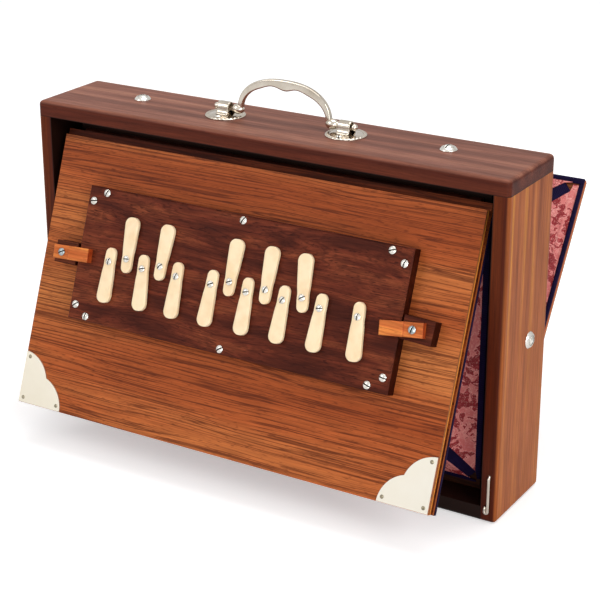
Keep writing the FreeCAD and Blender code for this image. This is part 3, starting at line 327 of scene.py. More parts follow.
# %% Metals
def metal(name, light, dark, rough, cloud_mm, grit_mm=0.5):
    """Plated or milled metal: cloud_mm across its dull patches, grit_mm across its scratches."""
    material, tree, shader, place = new_material(name)
    cloud = add(tree, "TexNoise", Scale=1000 / cloud_mm, Detail=4.0, Vector=place)
    colour = add(tree, "ValToRGB", Fac=cloud, stops=((0.3, dark), (0.7, light)))
    polish = add(tree, "MapRange", Value=cloud, From_Min=0.3, From_Max=0.7,
                 To_Min=rough * 1.3, To_Max=rough * 0.8)
    grit = add(tree, "TexNoise", Scale=1000 / grit_mm, Detail=2.0, Vector=place)
    scratches = add(tree, "Bump", Height=grit, Distance=0.00002, Strength=0.4)
    add(tree, shader, Base_Color=colour, Metallic=1.0, Roughness=polish, Normal=scratches)
    return material


nickel_cast = metal("nickel_plate_handle", "#DED5C8", "#BEB2A2", 0.13, 14)
nickel_sheet = metal("nickel_plate_corners", "#EEE8DB", "#DED6C5", 0.36, 60)
steel = metal("bright_steel_screws", "#F0EDE6", "#CFCAC0", 0.24, 3)
zinc = metal("zinc_plate_screws", "#B9C2C4", "#8C9698", 0.3, 2)
tarnished = metal("tarnished_nickel_nails", "#A39A84", "#6E6654", 0.4, 1.5)
# Painted shade: this dark metal in the screws' grooves stands for the shade inside them
groove_shade = metal("painted_shade_slots", "#3A332C", "#1E1A16", 0.6, 1)
brass = metal("milled_brass_reeds", "#D2A858", "#A67C34", 0.32, 6)
print("metals made")

# %% Marbled paper
marbled_paper, tree, shader, place = new_material("marbled_paper_ribs")
pull = add(tree, "TexNoise", 1, Scale=140.0, Detail=3.0, Vector=place)
pulled = add(tree, "VectorMath", operation="MULTIPLY_ADD", i0=pull, i1=(0.016,) * 3, i2=place)
blots = add(tree, "TexNoise", Scale=125.0, Detail=2.5, Roughness=0.55, Distortion=0.8,
            Vector=pulled)
pattern = add(tree, "ValToRGB", Fac=blots, stops=(
    (0.42, "#84141C"), (0.48, "#A4262E"), (0.495, "#E09C94"), (0.53, "#D07A74"), (0.66, "#C4605E")))
fleck = add(tree, "TexNoise", Scale=900.0, Detail=3.0, Vector=place)
flecks = add(tree, "MapRange", Value=fleck, From_Min=0.52, From_Max=0.68, To_Max=0.4)
paper_colour = add(tree, "Mix", 2, data_type="RGBA", i0=flecks, i6=pattern, i7="#D99C94")
tooth = add(tree, "Bump", Height=fleck, Distance=0.00005, Strength=0.4)
add(tree, shader, Base_Color=paper_colour, Roughness=0.6, Specular_IOR_Level=0.3, Normal=tooth)
print("paper made")

# %% Bookbinder's cloth: a plain weave, drawn 0.8 mm a thread so that it shows
book_cloth, tree, shader, place = new_material("navy_book_cloth")
threads = add(tree, "Mapping", Vector=place, Scale=(1250,) * 3, Rotation=(0.4, 0.3, 0.78))
warp, weft = (add(tree, "TexWave", "Fac", bands_direction=way, Scale=0.32, Distortion=0.6,
                  Vector=threads) for way in "XY")
weave = add(tree, "Math", operation="MULTIPLY", i0=warp, i1=weft)
rub = add(tree, "TexNoise", Scale=110.0, Detail=4.0, Vector=place)
dye = add(tree, "ValToRGB", Fac=rub, stops=((0.3, "#0B051A"), (0.7, "#150C2C")))
lit = add(tree, "Mix", 2, data_type="RGBA", i0=weave, i6=dye, i7="#1F1440")
cloth_relief = add(tree, "Bump", Height=weave, Distance=0.00012, Strength=0.6)
add(tree, shader, Base_Color=lit, Roughness=0.75, Specular_IOR_Level=0.08, Normal=cloth_relief)
print("cloth made")

# %% Goat leather with a pebble 0.8 mm across
goat_leather, tree, shader, place = new_material("goat_leather")
pebble = add(tree, "TexVoronoi", Scale=1250.0, Vector=place)
tan = add(tree, "TexNoise", Scale=90.0, Detail=3.0, Vector=place)
hide_colour = add(tree, "ValToRGB", Fac=tan, stops=((0.3, "#2E1009"), (0.7, "#4E2012")))
grain_relief = add(tree, "Bump", Height=pebble, Distance=0.0001, Strength=0.5)
add(tree, shader, Base_Color=hide_colour, Roughness=0.6, Specular_IOR_Level=0.15, Normal=grain_relief)
print("materials:", len(bpy.data.materials))

# %% [markdown]
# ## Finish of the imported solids
# Every node keeps its shape, and its material slot gets the finish of its real piece.

# %% Finish each node
FINISHES = {
    teak_top: ("case_top", "case_bottom"), teak_side: ("case_side_left", "case_side_right"),
    shaded_teak_inner: ("centre_board", "front_frame_rails", "rear_frame_rails"),
    front_teak: ("front_panel",), shaded_front_lining: ("front_inner_board",),
    back_teak: ("back_panel",), back_lining: ("back_inner_board",),
    rosewood: ("stop_plate",), block_wood: ("turn_block_left", "turn_block_right"),
    button_wood: ("turn_button_left", "turn_button_right"),
    steel: ("case_screws", "case_cup_washers", "handle_screws", "stop_plate_screws",
            "stop_pivot_screws", "reed_rivets", "front_hook"),
    zinc: ("turn_button_screws",), tarnished: ("corner_plate_nails",),
    brass: ("reed_plates", "reed_tongues"),
    nickel_cast: ("handle_bases", "handle_bail"),
    nickel_sheet: ("corner_plate_left", "corner_plate_right"),
    goat_leather: ("front_hinge_roll", "back_hinge_roll", "transfer_valve_flap", "intake_valve_flap"),
}
finish_of = {node: finish for finish, names in FINISHES.items() for node in names}
for node_name, node in nodes.items():
    given = marbled_paper if "_rib_" in node_name else stop_resin
    node.data.materials.clear()
    node.data.materials.append(finish_of.get(node_name, given))
print("finished", len(nodes), "nodes")

# %% [markdown]
# ## Bellows geometry
# Both bellows are wedges. Each has six stiff card ribs in two layers: one layer hinges on
# the case, the other on the board, and they meet in a fold that points inwards. The cloth
# pieces follow the ribs, so the same few sizes place all of them. Points are worked out in
# the flat frame of the wood that carries the rib: x across the box, h away from the wood
# and r down from the bellows' hinge line.

# %% Sizes of the bellows, in millimetres
RIB_CLEAR, RIB_THICK = 0.35, 1.2
RIB_EDGE, RIB_LENGTH, RIB_START = 174.0, 213.0, 14.0
FOLD_CUT, MITRE_CUT = 1.5, 5.6
RAIL_HALF, LINER_HALF, LINER_LENGTH = 176.0, 181.2, 217.4
RIB_WIDTH = {"front": 58.0, "back": 84.0}
SIDE_TILT = {"front": math.radians(29.5), "back": math.radians(26.2)}
END_TILT = {"front": math.radians(30.4), "back": math.radians(27.0)}
CLOTH = 0.28


def placed(points, bellows, layer):
    """(x, h, r) of a carrier, in mm, to the model's metres. h runs off the wood."""
    way = 1.0 if layer == "case" else -1.0
    x, h, r = np.moveaxis(np.asarray(points, float), -1, 0)
    local = np.stack([x, way * (HALF_FOLD - h), -r, np.ones_like(x)], -1)
    return (local @ np.array(board_frame(bellows, layer)).T)[..., :3] * MM


def grid(x, h, r):
    """Points from x, h and r, each given once for a row, a column or all of the grid."""
    return np.stack(np.broadcast_arrays(x, h, r), -1)


print("a side rib starts at", placed([RIB_EDGE, 0, RIB_START], "front", "case").round(4))

# %% [markdown]
# ## From a grid of points to a piece
# Every new piece is a grid of points that numpy works out as whole arrays. Neighbouring
# points make the faces. Where a grid closes on itself or shrinks to a pole, the doubled
# points are merged, and the faces of a closed piece are then turned outwards.

# %% Grid to mesh
def grid_piece(name, points, material, flip=False, closed=False, thick=0.0, inlay=None):
    """A smooth surface from points[..., row, column] in metres, solid if thick mm is given.

    Leading axes are copies in one piece. inlay is (columns of faces, their material)."""
    rows, columns = points.shape[-3:-1]
    index = np.arange(points.size // 3).reshape(-1, rows, columns)
    quads = np.stack([index[:, :-1, :-1], index[:, :-1, 1:], index[:, 1:, 1:], index[:, 1:, :-1]], -1)
    second = np.zeros(quads.shape[:3], int)
    mesh = bpy.data.meshes.new(name)
    mesh.materials.append(material)
    if inlay:
        second[..., inlay[0]] = 1
        mesh.materials.append(inlay[1])
    quads = quads.reshape(-1, 4)
    mesh.from_pydata(points.reshape(-1, 3).tolist(), [], (quads[:, ::-1] if flip else quads).tolist())
    mesh.polygons.foreach_set("material_index", second.ravel().tolist())
    if closed:
        shape = bmesh.new()
        shape.from_mesh(mesh)
        bmesh.ops.remove_doubles(shape, verts=shape.verts, dist=1e-6)
        bmesh.ops.recalc_face_normals(shape, faces=shape.faces)
        shape.to_mesh(mesh)
        shape.free()
    mesh.polygons.foreach_set("use_smooth", [True] * len(mesh.polygons))
    piece = in_scene(name, mesh)
    if thick:
        wall = piece.modifiers.new("cloth", "SOLIDIFY")
        wall.thickness, wall.offset = thick * MM, 1.0
    return piece


def stands_for(piece, node, body):
    """Hides the CAD node that a piece replaces, and attaches the piece to its body."""
    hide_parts(node)
    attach(piece, body)


WORD = {-1: "left", 0: "end", 1: "right"}


def rib_name(bellows, layer, side):
    """The rib of a layer. side is -1 or 1 for the long sides, and 0 for the open end."""
    return f"{bellows}_rib_{WORD[side]}_{layer}"


def cloth(kind, flat, bellows, layer, side, skin=book_cloth):
    """A glued sheet from its points in a carrier's frame.

    A fold's cloth rests on its rib and any other on wood."""
    points = placed(flat, bellows, layer)
    piece = grid_piece(f"{bellows}_{WORD[side]}_{layer}_{kind}", points, skin,
                       flip=(side > 0) == (layer == "case"), thick=CLOTH)
    return piece


# %% [markdown]
# ## Hinges, edging and folds
# A rib's place follows from its tilt: a point s mm from its hinge lies s cos(tilt) further
# in and s sin(tilt) higher, and the face that shows is a card's thickness above that. A
# thin strip is the hinge: glued to the wood, it goes round the corner and on to the card.
# At the case it is cloth. At a board it is the ribs' own paper, and cloth edging covers its
# outer edge and the board's. Another cloth covers the fold. It starts on the card and goes
# on to the plane midway between case and board, where the other layer's cloth meets it.

# %% Rib faces
def on_side_rib(bellows, side, s, r, lift=0.0):
    """Face of a side rib: s from its hinge, r from the hinge line, lift above the face."""
    tilt, rise = SIDE_TILT[bellows], RIB_THICK + lift
    x = side * (RIB_EDGE - s * math.cos(tilt) + rise * math.sin(tilt))
    h = RIB_CLEAR + s * math.sin(tilt) + rise * math.cos(tilt)
    return grid(x, h, r)


def side_fold(bellows, r):
    """s at which a side rib's face meets the plane midway between case and board."""
    tilt, slope = SIDE_TILT[bellows], math.tan(math.radians(OPENING[bellows] / 2))
    return (HALF_FOLD - RIB_CLEAR - RIB_THICK * math.cos(tilt) + r * slope) / math.sin(tilt)


def on_end_rib(bellows, x, w, lift=0.0):
    """Face of the end rib: w from its hinge, which is RIB_LENGTH below the hinge line."""
    tilt, rise = END_TILT[bellows], RIB_THICK + lift
    r = RIB_LENGTH - w * math.cos(tilt) + rise * math.sin(tilt)
    h = RIB_CLEAR + w * math.sin(tilt) + rise * math.cos(tilt)
    return grid(x, h, r)


def end_fold(bellows):
    """w at which the end rib's face meets the middle plane.

    The plane is HALF_FOLD - h = -r tan(half opening), and both h and r are linear in w."""
    tilt, slope = END_TILT[bellows], math.tan(math.radians(OPENING[bellows] / 2))
    start_h = RIB_CLEAR + RIB_THICK * math.cos(tilt) - HALF_FOLD
    start_r = RIB_LENGTH + RIB_THICK * math.sin(tilt)
    return (slope * start_r - start_h) / (math.sin(tilt) + slope * math.cos(tilt))


SLOPE = {bellows: RIB_WIDTH[bellows] / (RIB_LENGTH - RIB_WIDTH[bellows]) for bellows in RIB_WIDTH}
MEET = {bellows: (RIB_LENGTH - MITRE_CUT + FOLD_CUT) / (1 + SLOPE[bellows]) for bellows in RIB_WIDTH}
print("end folds", {bellows: round(end_fold(bellows), 1) for bellows in RIB_WIDTH})


# %% Hinges of the ribs
CLOTH_GAP, FACE_LIFT, HINGE_LIFT, HINGE_REACH, TOP_START = 0.15, 0.02, 0.03, 2.0, 4.0
RIM = LINER_HALF + CLOTH_GAP
EDGE_WRAP = {"front": 2.6, "back": 0.5}
HINGE_SKIN = {"case": book_cloth, "board": marbled_paper}


def hinge_path(layer):
    """Across the wood to the rib's hinge: x from the middle and h above the wood, in mm."""
    if layer == "case":
        return (np.array([RAIL_HALF + CLOTH_GAP] * 3 + [175.9, 175.5]),
                np.array([-1.4, -0.8, -0.1, 0.3, 0.5]))
    return np.array([178.6, 177.4, 176.4, 175.9, 175.4]), np.array([0.03, 0.03, 0.08, 0.2, 0.45])


def hinge_strip(flat, bellows, layer, side):
    """A hinge strip, which turns from its wood to its rib along the inward line."""
    strip = cloth("hinge_cloth", flat, bellows, layer, side, HINGE_SKIN[layer])
    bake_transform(strip)


def side_hinge(bellows, layer, side):
    """Strip from the wood to a side rib, narrower where the card ends at its mitre."""
    r = np.linspace(TOP_START, RIB_LENGTH - 1.0, 60)
    wood_x, wood_h = hinge_path(layer)
    on_wood = grid(side * wood_x[:, None], wood_h[:, None], r[None])
    reach = np.clip(side_fold(bellows, r) - 0.5, 0.6, HINGE_REACH)
    reach = np.minimum(reach, np.maximum(RIB_LENGTH - MITRE_CUT - r + 2.0, 0.3))
    s = np.linspace(0.25, 1.0, 4)[:, None] * reach
    on_rib = on_side_rib(bellows, side, s, r[None], HINGE_LIFT)
    flat = np.concatenate([on_wood, on_rib])
    hinge_strip(flat, bellows, layer, side)


def end_hinge(bellows, layer):
    """Strip from the wood to the end rib, across the box."""
    x = np.linspace(-RIB_EDGE + 1, RIB_EDGE - 1, 90)
    wood_x, wood_h = hinge_path("board")
    squeeze = (LINER_LENGTH - 0.3 - RIB_LENGTH) / (LINER_HALF - RIB_EDGE)
    wood_r = RIB_LENGTH + (wood_x - RIB_EDGE) * squeeze
    on_wood = grid(x[None], wood_h[:, None], wood_r[:, None])
    reach = np.minimum(2.4, np.maximum(RIB_EDGE - MITRE_CUT - np.abs(x) + 2.0, 0.3))
    w = np.linspace(0.25, 1.0, 4)[:, None] * reach
    on_rib = on_end_rib(bellows, x[None], w, HINGE_LIFT)
    flat = np.concatenate([on_wood, on_rib])
    hinge_strip(flat, bellows, layer, 0)


# %% Edging of the boards
def edging(bellows, side):
    """Cloth round the inner board's edge, and over the edge of the hinge paper.

    side is -1 or 1 for the long sides, and 0 for the open end, which laps over the others."""
    wrap, over = EDGE_WRAP[bellows], 0.36 + 0.3 * (side == 0)
    off = np.array([0, 0, 0, 0.25, 1.4, 3.0 if side else 4.6])
    h = np.array([-wrap, -0.5 * wrap, -0.05, over, over, over])[:, None]
    if side:
        r = np.linspace(TOP_START, LINER_LENGTH, 50)[None]
        flat = grid(side * (RIM - off[:, None]), h, r)
    else:
        x = np.linspace(-RIM, RIM, 90)[None]
        flat = grid(x, h, LINER_LENGTH + CLOTH_GAP - off[:, None])
    strip = cloth("edging", flat, bellows, "board", side)
    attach(strip, f"{bellows}_board")


# %% Fold cloth
CARD_LAP, CARD_ROUND = 3.2, 1.5


def side_fold_cloth(bellows, layer, side):
    """Cloth from a side rib's inner edge to the middle plane."""
    r = np.linspace(2.5, MEET[bellows] + CARD_ROUND, 60)
    outer = side_fold(bellows, r)
    inner = np.where(r < RIB_START + 3, 0.0, SLOPE[bellows] * r - FOLD_CUT - CARD_LAP)
    inner = np.clip(inner, 0.0, outer - 0.3)
    s = inner + np.linspace(0, 1, 5)[:, None] * (outer - inner)
    flat = on_side_rib(bellows, side, s, r[None], FACE_LIFT)
    fold = cloth("fold_cloth", flat, bellows, layer, side)
    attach(fold, rib_name(bellows, layer, side))


def end_fold_cloth(bellows, layer):
    """Cloth from the end rib's inner edge to the middle plane."""
    card = RIB_WIDTH[bellows] - FOLD_CUT
    half = RIB_EDGE - MITRE_CUT - card + CARD_ROUND
    x = np.linspace(-half, half, 60)
    w = np.linspace(card - CARD_LAP, end_fold(bellows), 5)[:, None]
    flat = on_end_rib(bellows, x[None], w, FACE_LIFT)
    fold = cloth("fold_cloth", flat, bellows, layer, 0)
    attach(fold, rib_name(bellows, layer, 0))


# %% [markdown]
# ## Gussets
# At the two lower corners the cards stop short of each other, and cloth fills the gap. When
# the board shuts it creases and lies flat. Each gusset goes with the case or the board that
# carries its layer, instead of turning with a rib.

# %% Gusset cloth
GUSSET_LAP, CREASE_SHARE, CREASE = 2.2, 0.10, 0.2


def gusset(bellows, layer, side):
    """Cloth between the slanted edges of a side rib and the end rib.

    u runs along the gap from the corner to the fold, v across it. A point is the straight
    mix of the two cards' edges, sunk by sin(pi v) times a tenth of the gap: a soft crease."""
    s_top = RIB_LENGTH - MITRE_CUT - MEET[bellows]
    u = np.linspace(0, 1, 40)
    side_r = RIB_LENGTH - MITRE_CUT - s_top * u - GUSSET_LAP
    first = on_side_rib(bellows, side, s_top * u, side_r, FACE_LIFT)
    w = (RIB_WIDTH[bellows] - FOLD_CUT) * u
    end_x = side * (RIB_EDGE - MITRE_CUT - w - GUSSET_LAP)
    second = on_end_rib(bellows, end_x, w, FACE_LIFT)
    v = np.linspace(0, 1, 17)[:, None]
    points = first * (1 - v[..., None]) + second * v[..., None]
    gap = np.linalg.norm(second - first, axis=-1)
    sink = (CREASE_SHARE * gap + CREASE) * np.sin(np.pi * v)
    points[..., 1] -= sink * np.minimum(u * 5, 1)
    piece = cloth("gusset", points, bellows, layer, side)
    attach(piece, "case" if layer == "case" else f"{bellows}_board")
    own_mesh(piece)


# %% Dress both bellows
for bellows in ("front", "back"):
    for layer in ("case", "board"):
        for side in (-1, 1):
            side_hinge(bellows, layer, side)
            side_fold_cloth(bellows, layer, side)
            gusset(bellows, layer, side)
        end_hinge(bellows, layer)
        end_fold_cloth(bellows, layer)
    for side in (-1, 0, 1):
        edging(bellows, side)

# %% [markdown]
# ## Handle
# The bail is a cast bar, flat in front and rounded at its edges, with a wave for the
# fingers. Its feet end in bulbs on the pins that turn in two straps. Each strap rises from
# a thin pressed disc with a beaded rim. The bar and straps are one kind of surface: a
# rounded rectangle carried along a path. The discs and pins are turned profiles.

# %% Sizes of the handle, in millimetres
HANDLE_Y, CASE_TOP = 1.8, 258.0
PIN_Z, BASE_X = CASE_TOP + 6.4, 52.0
BAIL_OUT, BAIL_IN, BAIL_RISE, BAIL_BAND, BAIL_DEPTH = 40.0, 36.0, 27.3, 6.4, 4.0
PIN_X, PIN_THICK, BULB, BULB_LONG, BALL, BALL_AT = 40.5, 2.1, 3.9, 5.2, 2.6, 18.3
STRAP_HALF, STRAP_ROUND, STRAP_THIN = 5.0, 3.8, 0.6
DISC_RADIUS = [0, 15.3, 15.5, 15.3, 14.6, 13.8, 13.0, 12.2, 11.2, 8.0, 4.0, 0]
DISC_HEIGHT = [0, 0, 0.3, 0.7, 0.8, 0.9, 0.9, 0.9, 1.3, 1.55, 1.6, 1.6]


def keep_sign(values, power):
    """Each value's size raised to a power, with the value's sign."""
    return np.sign(values) * np.abs(values) ** power


def bar(name, centre, across, depth, material, power=5.0):
    """Rounded rectangle along a path: centre + across * c(a) + depth * s(a).

    c and s are the cosine and sine of a, raised to 2 / power with their signs kept. The
    first and last sections are repeated at no size, which closes the ends."""
    a = np.linspace(0, 2 * np.pi, 41)
    cosine, sine = keep_sign(np.cos(a), 2 / power), keep_sign(np.sin(a), 2 / power)
    size = np.r_[0.0, 0.85, np.ones(len(centre) - 2), 0.85, 0.0][:, None]
    ends = np.r_[0, np.arange(len(centre)), len(centre) - 1]
    across, depth = across[ends] * size, depth[ends] * size
    points = centre[ends][:, None] + across[:, None] * cosine[:, None]
    points = points + depth[:, None] * sine[:, None]
    return grid_piece(name, points * MM, material, closed=True)


def directions(path):
    """Unit vectors along a path."""
    along = np.gradient(path, axis=0)
    return along / np.linalg.norm(along, axis=1)[:, None]


def turned(name, radius, along, origin, axis, material, beads=None):
    """A turned piece: radius[i] at distance along[i] on the axis, all the way round.

    beads are (inner radius, outer radius, number, height): a rim raised by
    height |cos(number angle / 2)|."""
    axis = np.array(axis, float)
    first = np.array([0.0, 1.0, 0.0])
    second = np.cross(axis, first)
    angle = np.linspace(0, 2 * np.pi, 225 if beads else 49)[None, :, None]
    radius, along = (np.asarray(v, float)[:, None, None] for v in (radius, along))
    if beads:
        inner, outer, number, height = beads
        on_rim = (radius > inner) & (radius < outer)
        along = along + on_rim * height * np.abs(np.cos(number * angle / 2))
    around = first * np.cos(angle) + second * np.sin(angle)
    points = np.array(origin) + around * radius + axis * along
    return grid_piece(name, points * MM, material, closed=True)


print("handle axis at z", PIN_Z, "mm")


# %% Bail
def arch(wide, high):
    """Half of a superellipse of exponent 2.3: (wide cos^0.87, high sin^0.87)."""
    angle = np.linspace(0, np.pi, 121)
    power = 2 / 2.3
    x = wide * keep_sign(np.cos(angle), power)
    return np.stack([x, np.zeros_like(x), high * np.sin(angle).clip(0) ** power], -1)


outer_edge, inner_edge = arch(BAIL_OUT, BAIL_RISE), arch(BAIL_IN, BAIL_RISE - BAIL_BAND)
share = inner_edge[:, 0] / BAIL_IN
inner_edge[:, 2] += np.where(np.abs(share) < 0.6, 1.0 * np.sin(np.pi * share / 0.6) ** 2, 0)
inner_edge[:, 2] -= 1.9 * np.exp(-((share - 0.05) / 0.2) ** 2)
bail_bar = bar("bail_bar", (outer_edge + inner_edge) / 2 + np.array([0, HANDLE_Y, PIN_Z]),
               (outer_edge - inner_edge) / 2, np.tile([0, BAIL_DEPTH / 2, 0], (len(share), 1)),
               nickel_cast)
bulb = np.linspace(-np.pi / 2, math.acos(PIN_THICK / BULB), 18)
ball = np.linspace(-math.acos(PIN_THICK / BALL), np.pi / 2, 10)
pin_radius = np.r_[BULB * np.cos(bulb), BALL * np.cos(ball)]
pin_along = np.r_[BULB_LONG * np.sin(bulb), BALL_AT + BALL * np.sin(ball)]
pins = [turned(f"bail_pin_{word}", pin_radius, pin_along, (side * PIN_X, HANDLE_Y, PIN_Z),
               (side, 0, 0), nickel_cast) for side, word in ((-1, "left"), (1, "right"))]
for piece in (bail_bar, *pins):
    stands_for(piece, "handle_bail", "bail")
print("bail", len(bail_bar.data.polygons), "faces")

# %% Straps and discs
half_round = np.linspace(0, np.pi, 25)
strap_y = np.r_[-6.6, -5.4, -4.4, -3.8, -STRAP_ROUND * np.cos(half_round), 3.8, 4.4, 5.4, 6.6]
strap_z = np.r_[1.9, 2.1, 2.9, 4.4, 6.4 + STRAP_ROUND * np.sin(half_round), 4.4, 2.9, 2.1, 1.9]
path = np.stack([np.zeros_like(strap_y), strap_y, strap_z], -1)
along = directions(path)
out = np.stack([np.zeros_like(strap_y), -along[:, 2], along[:, 1]], -1)
for side, word in ((-1, "left"), (1, "right")):
    origin = np.array([side * BASE_X, HANDLE_Y, CASE_TOP])
    strap = bar(f"handle_strap_{word}", path + origin, np.tile([STRAP_HALF, 0, 0], (len(path), 1)),
                out * STRAP_THIN, nickel_cast)
    disc = turned(f"handle_disc_{word}", DISC_RADIUS, DISC_HEIGHT, origin, (0, 0, 1),
                  nickel_cast, beads=(12.4, 15.2, 28, 0.5))
    for piece in (strap, disc):
        stands_for(piece, "handle_bases", "case")
print("handle bases made")

# %% [markdown]
# ## Slotted screws
# A slotted head is a dome cut by a straight groove. Its grid has columns across the groove
# and rows along it, so the groove's walls are sharp: the columns at its two edges are there
# twice, once on the dome and once on the floor. The floor and walls have their own dark metal,
# which is painted shade for the shade deep in the narrow groove that makes it read as a dark line.

# %% Slotted heads
HEAD_COLUMNS, HEAD_ROWS = 9, 15


def slotted_heads(node, places, radius, height, groove, body, material=steel):
    """Domes z = height (1 - 0.7 (r / radius)^2) with a groove of width and depth groove.

    They stand for the screws of node. places are (centre, outward direction, direction of
    the groove) for each, in mm."""
    width, deep = groove
    reach = np.linspace(0, math.acos(width / 2 / radius), HEAD_COLUMNS)
    left = -radius * np.cos(reach)
    x = np.r_[left, -width / 2, width / 2, -left[::-1]]
    row = np.sin(np.linspace(-np.pi / 2, np.pi / 2, HEAD_ROWS))[:, None]
    y = np.sqrt(np.clip(radius ** 2 - x ** 2, 0, None)) * row
    dome = height * (1 - 0.7 * (x ** 2 + y ** 2) / radius ** 2)
    sunk = (np.arange(len(x)) >= HEAD_COLUMNS) & (np.arange(len(x)) < HEAD_COLUMNS + 2)
    z = np.where(sunk, np.minimum(dome, height - deep), dome)
    around = np.r_[0, np.arange(HEAD_ROWS), HEAD_ROWS - 1, 0]
    y, z = y[around], z[around] * np.r_[0, np.ones(HEAD_ROWS), 0, 0][:, None]
    centre, outward, along = (np.array(v, float)[:, None, None] for v in zip(*places))
    across = np.cross(along, outward)
    points = centre + across * x[:, None] + along * y[..., None] + outward * z[..., None]
    # Painted shade: the groove's floor and walls take the dark metal
    groove_faces = slice(HEAD_COLUMNS - 1, HEAD_COLUMNS + 2)
    heads = grid_piece(node[:-1] + "_heads", points * MM, material, closed=True,
                       inlay=(groove_faces, groove_shade))
    stands_for(heads, node, body)


def on_board(x, y, z, angle):
    """A screw on the front board, whose groove is turned by angle degrees off level."""
    frame_of = board_frame("front")
    a = math.radians(angle)
    return (frame_of @ Vector((x, y, z)), frame_of.to_3x3() @ Vector((0, -1, 0)),
            frame_of.to_3x3() @ Vector((math.cos(a), 0, math.sin(a))))


def on_case(x, z, outward, angle):
    """A screw on the case's top or side, whose groove is turned by angle degrees."""
    a = math.radians(angle)
    along = (math.cos(a), math.sin(a), 0) if outward[2] else (0, math.cos(a), math.sin(a))
    return (x, 6.8, z), outward, along


# %% Screws and washers of the case
CUP_RADIUS = [3.6, 3.75, 4.2, 4.9, 5.8, 6.3, 6.4, 6.4, 3.6, 3.6]
CUP_HEIGHT = [0, 2.1, 2.35, 2.1, 1.1, 0.5, 0.3, 0, 0, 0]
SEAT, SCREW_OUT = 2.0, 9.8
case_places = [on_case(-132, 260, (0, 0, 1), 35), on_case(132, 260, (0, 0, 1), 80),
               on_case(202, 128, (1, 0, 0), 60), on_case(-202, 128, (-1, 0, 0), 65)]
slotted_heads("case_screws", case_places, 3.75, 1.7, (0.9, 1.2), "case")
for word, (centre, outward, _) in zip(("top_left", "top_right", "right", "left"), case_places):
    seat = np.array(centre) - SEAT * np.array(outward)
    washer = turned(f"cup_washer_{word}", CUP_RADIUS, CUP_HEIGHT, seat, outward, steel)
    stands_for(washer, "case_cup_washers", "case")
handle_places = [((side * BASE_X, HANDLE_Y + way * SCREW_OUT, CASE_TOP + 1.3), (0, 0, 1),
                  (math.cos(a), math.sin(a), 0))
                 for side, way, a in ((-1, -1, 0.3), (-1, 1, 1.2), (1, -1, 1.9), (1, 1, 0.7))]
slotted_heads("handle_screws", handle_places, 2.6, 1.3, (0.7, 0.8), "case")
print("case screws made")

# %% Screws of the front board
PLATE_X, PLATE_FACE, PIVOT_FACE, BUTTON_FACE = -2.0, -21.8, -25.9, -27.4
NEAR, FAR, UPPER, LOWER = 122.5, 133.5, (-43.9, -51.4), (-139.1, -131.6)
BUTTON_X, BUTTON_Z = 151, -94.5
plate_places = [on_board(PLATE_X + x, PLATE_FACE, z, angle) for x, z, angle in (
    (-NEAR, UPPER[0], 68), (-FAR, UPPER[1], 8), (0, UPPER[0], 62), (NEAR, UPPER[0], 20),
    (FAR, UPPER[1], 75), (-NEAR, LOWER[0], 84), (-FAR, LOWER[1], 40), (0, LOWER[0], 35),
    (NEAR, LOWER[0], -18), (FAR, LOWER[1], -8))]
slotted_heads("stop_plate_screws", plate_places, 2.85, 1.5, (0.9, 0.9), "front_board")
button_places = [on_board(PLATE_X + side * BUTTON_X, BUTTON_FACE, BUTTON_Z, angle)
                 for side, angle in ((-1, 30), (1, 75))]
slotted_heads("turn_button_screws", button_places, 2.9, 1.6, (0.9, 0.9), "front_board", zinc)
print("board screws made")

# %% [markdown]
# ## Stops
# A stop is a small paddle of cream resin: narrow and round at its pivot, wider and squarer
# at the end that covers the sound hole. It is the same kind of surface as the handle's bar,
# a rounded rectangle whose width changes along a straight path. The wide ends of the lower
# row point down and those of the upper row up, and no two stops lean quite alike.

# %% Stops and their pivot screws
PITCH, PIVOT_LOW, PIVOT_HIGH, LEAN, STOP_MIDDLE, STOP_HALF = 30.7, -94.0, -89.4, 3.5, 2.05, 1.75
SHORT, LONG, NARROW, WIDE, NARROW_CORNER, WIDE_CORNER = 10.5, 31.5, 4.1, 6.3, 4.0, 5.6
EXTRA_LEAN = (3.6, -0.7, 3.0, 5.0, 3.2, 4.4, 4.6, -0.1, 1.4, 5.0, 4.2, 3.0, -3.1)
GROOVES = (80, 20, 75, 30, 15, 60, 10, 85, 5, 50, 25, 70, 35)
quarter = np.linspace(0, np.pi / 2, 9)
s = np.r_[-SHORT + NARROW_CORNER * (1 - np.cos(quarter)), np.linspace(-5, 24, 13),
          LONG - WIDE_CORNER * (1 - np.cos(quarter[::-1]))]
half_width = NARROW + (WIDE - NARROW) * (s + SHORT) / (SHORT + LONG)
half_width -= 0.35 * np.exp(-((s - 3) / 3) ** 2)
near_start, near_end = np.clip(s + SHORT, 0, NARROW_CORNER), np.clip(LONG - s, 0, WIDE_CORNER)
half_width -= NARROW_CORNER - np.sqrt(NARROW_CORNER ** 2 - (NARROW_CORNER - near_start) ** 2)
half_width -= WIDE_CORNER - np.sqrt(WIDE_CORNER ** 2 - (WIDE_CORNER - near_end) ** 2)
half_width = np.maximum(half_width, 0.25)[:, None]
rows = [(k - 3.5, PIVOT_LOW, 180 - LEAN) for k in range(8)]
rows += [(k - 3.0, PIVOT_HIGH, -LEAN) for k in (0, 1, 3, 4, 5)]
to_row = np.array(board_frame("front"))
pivot_places = []
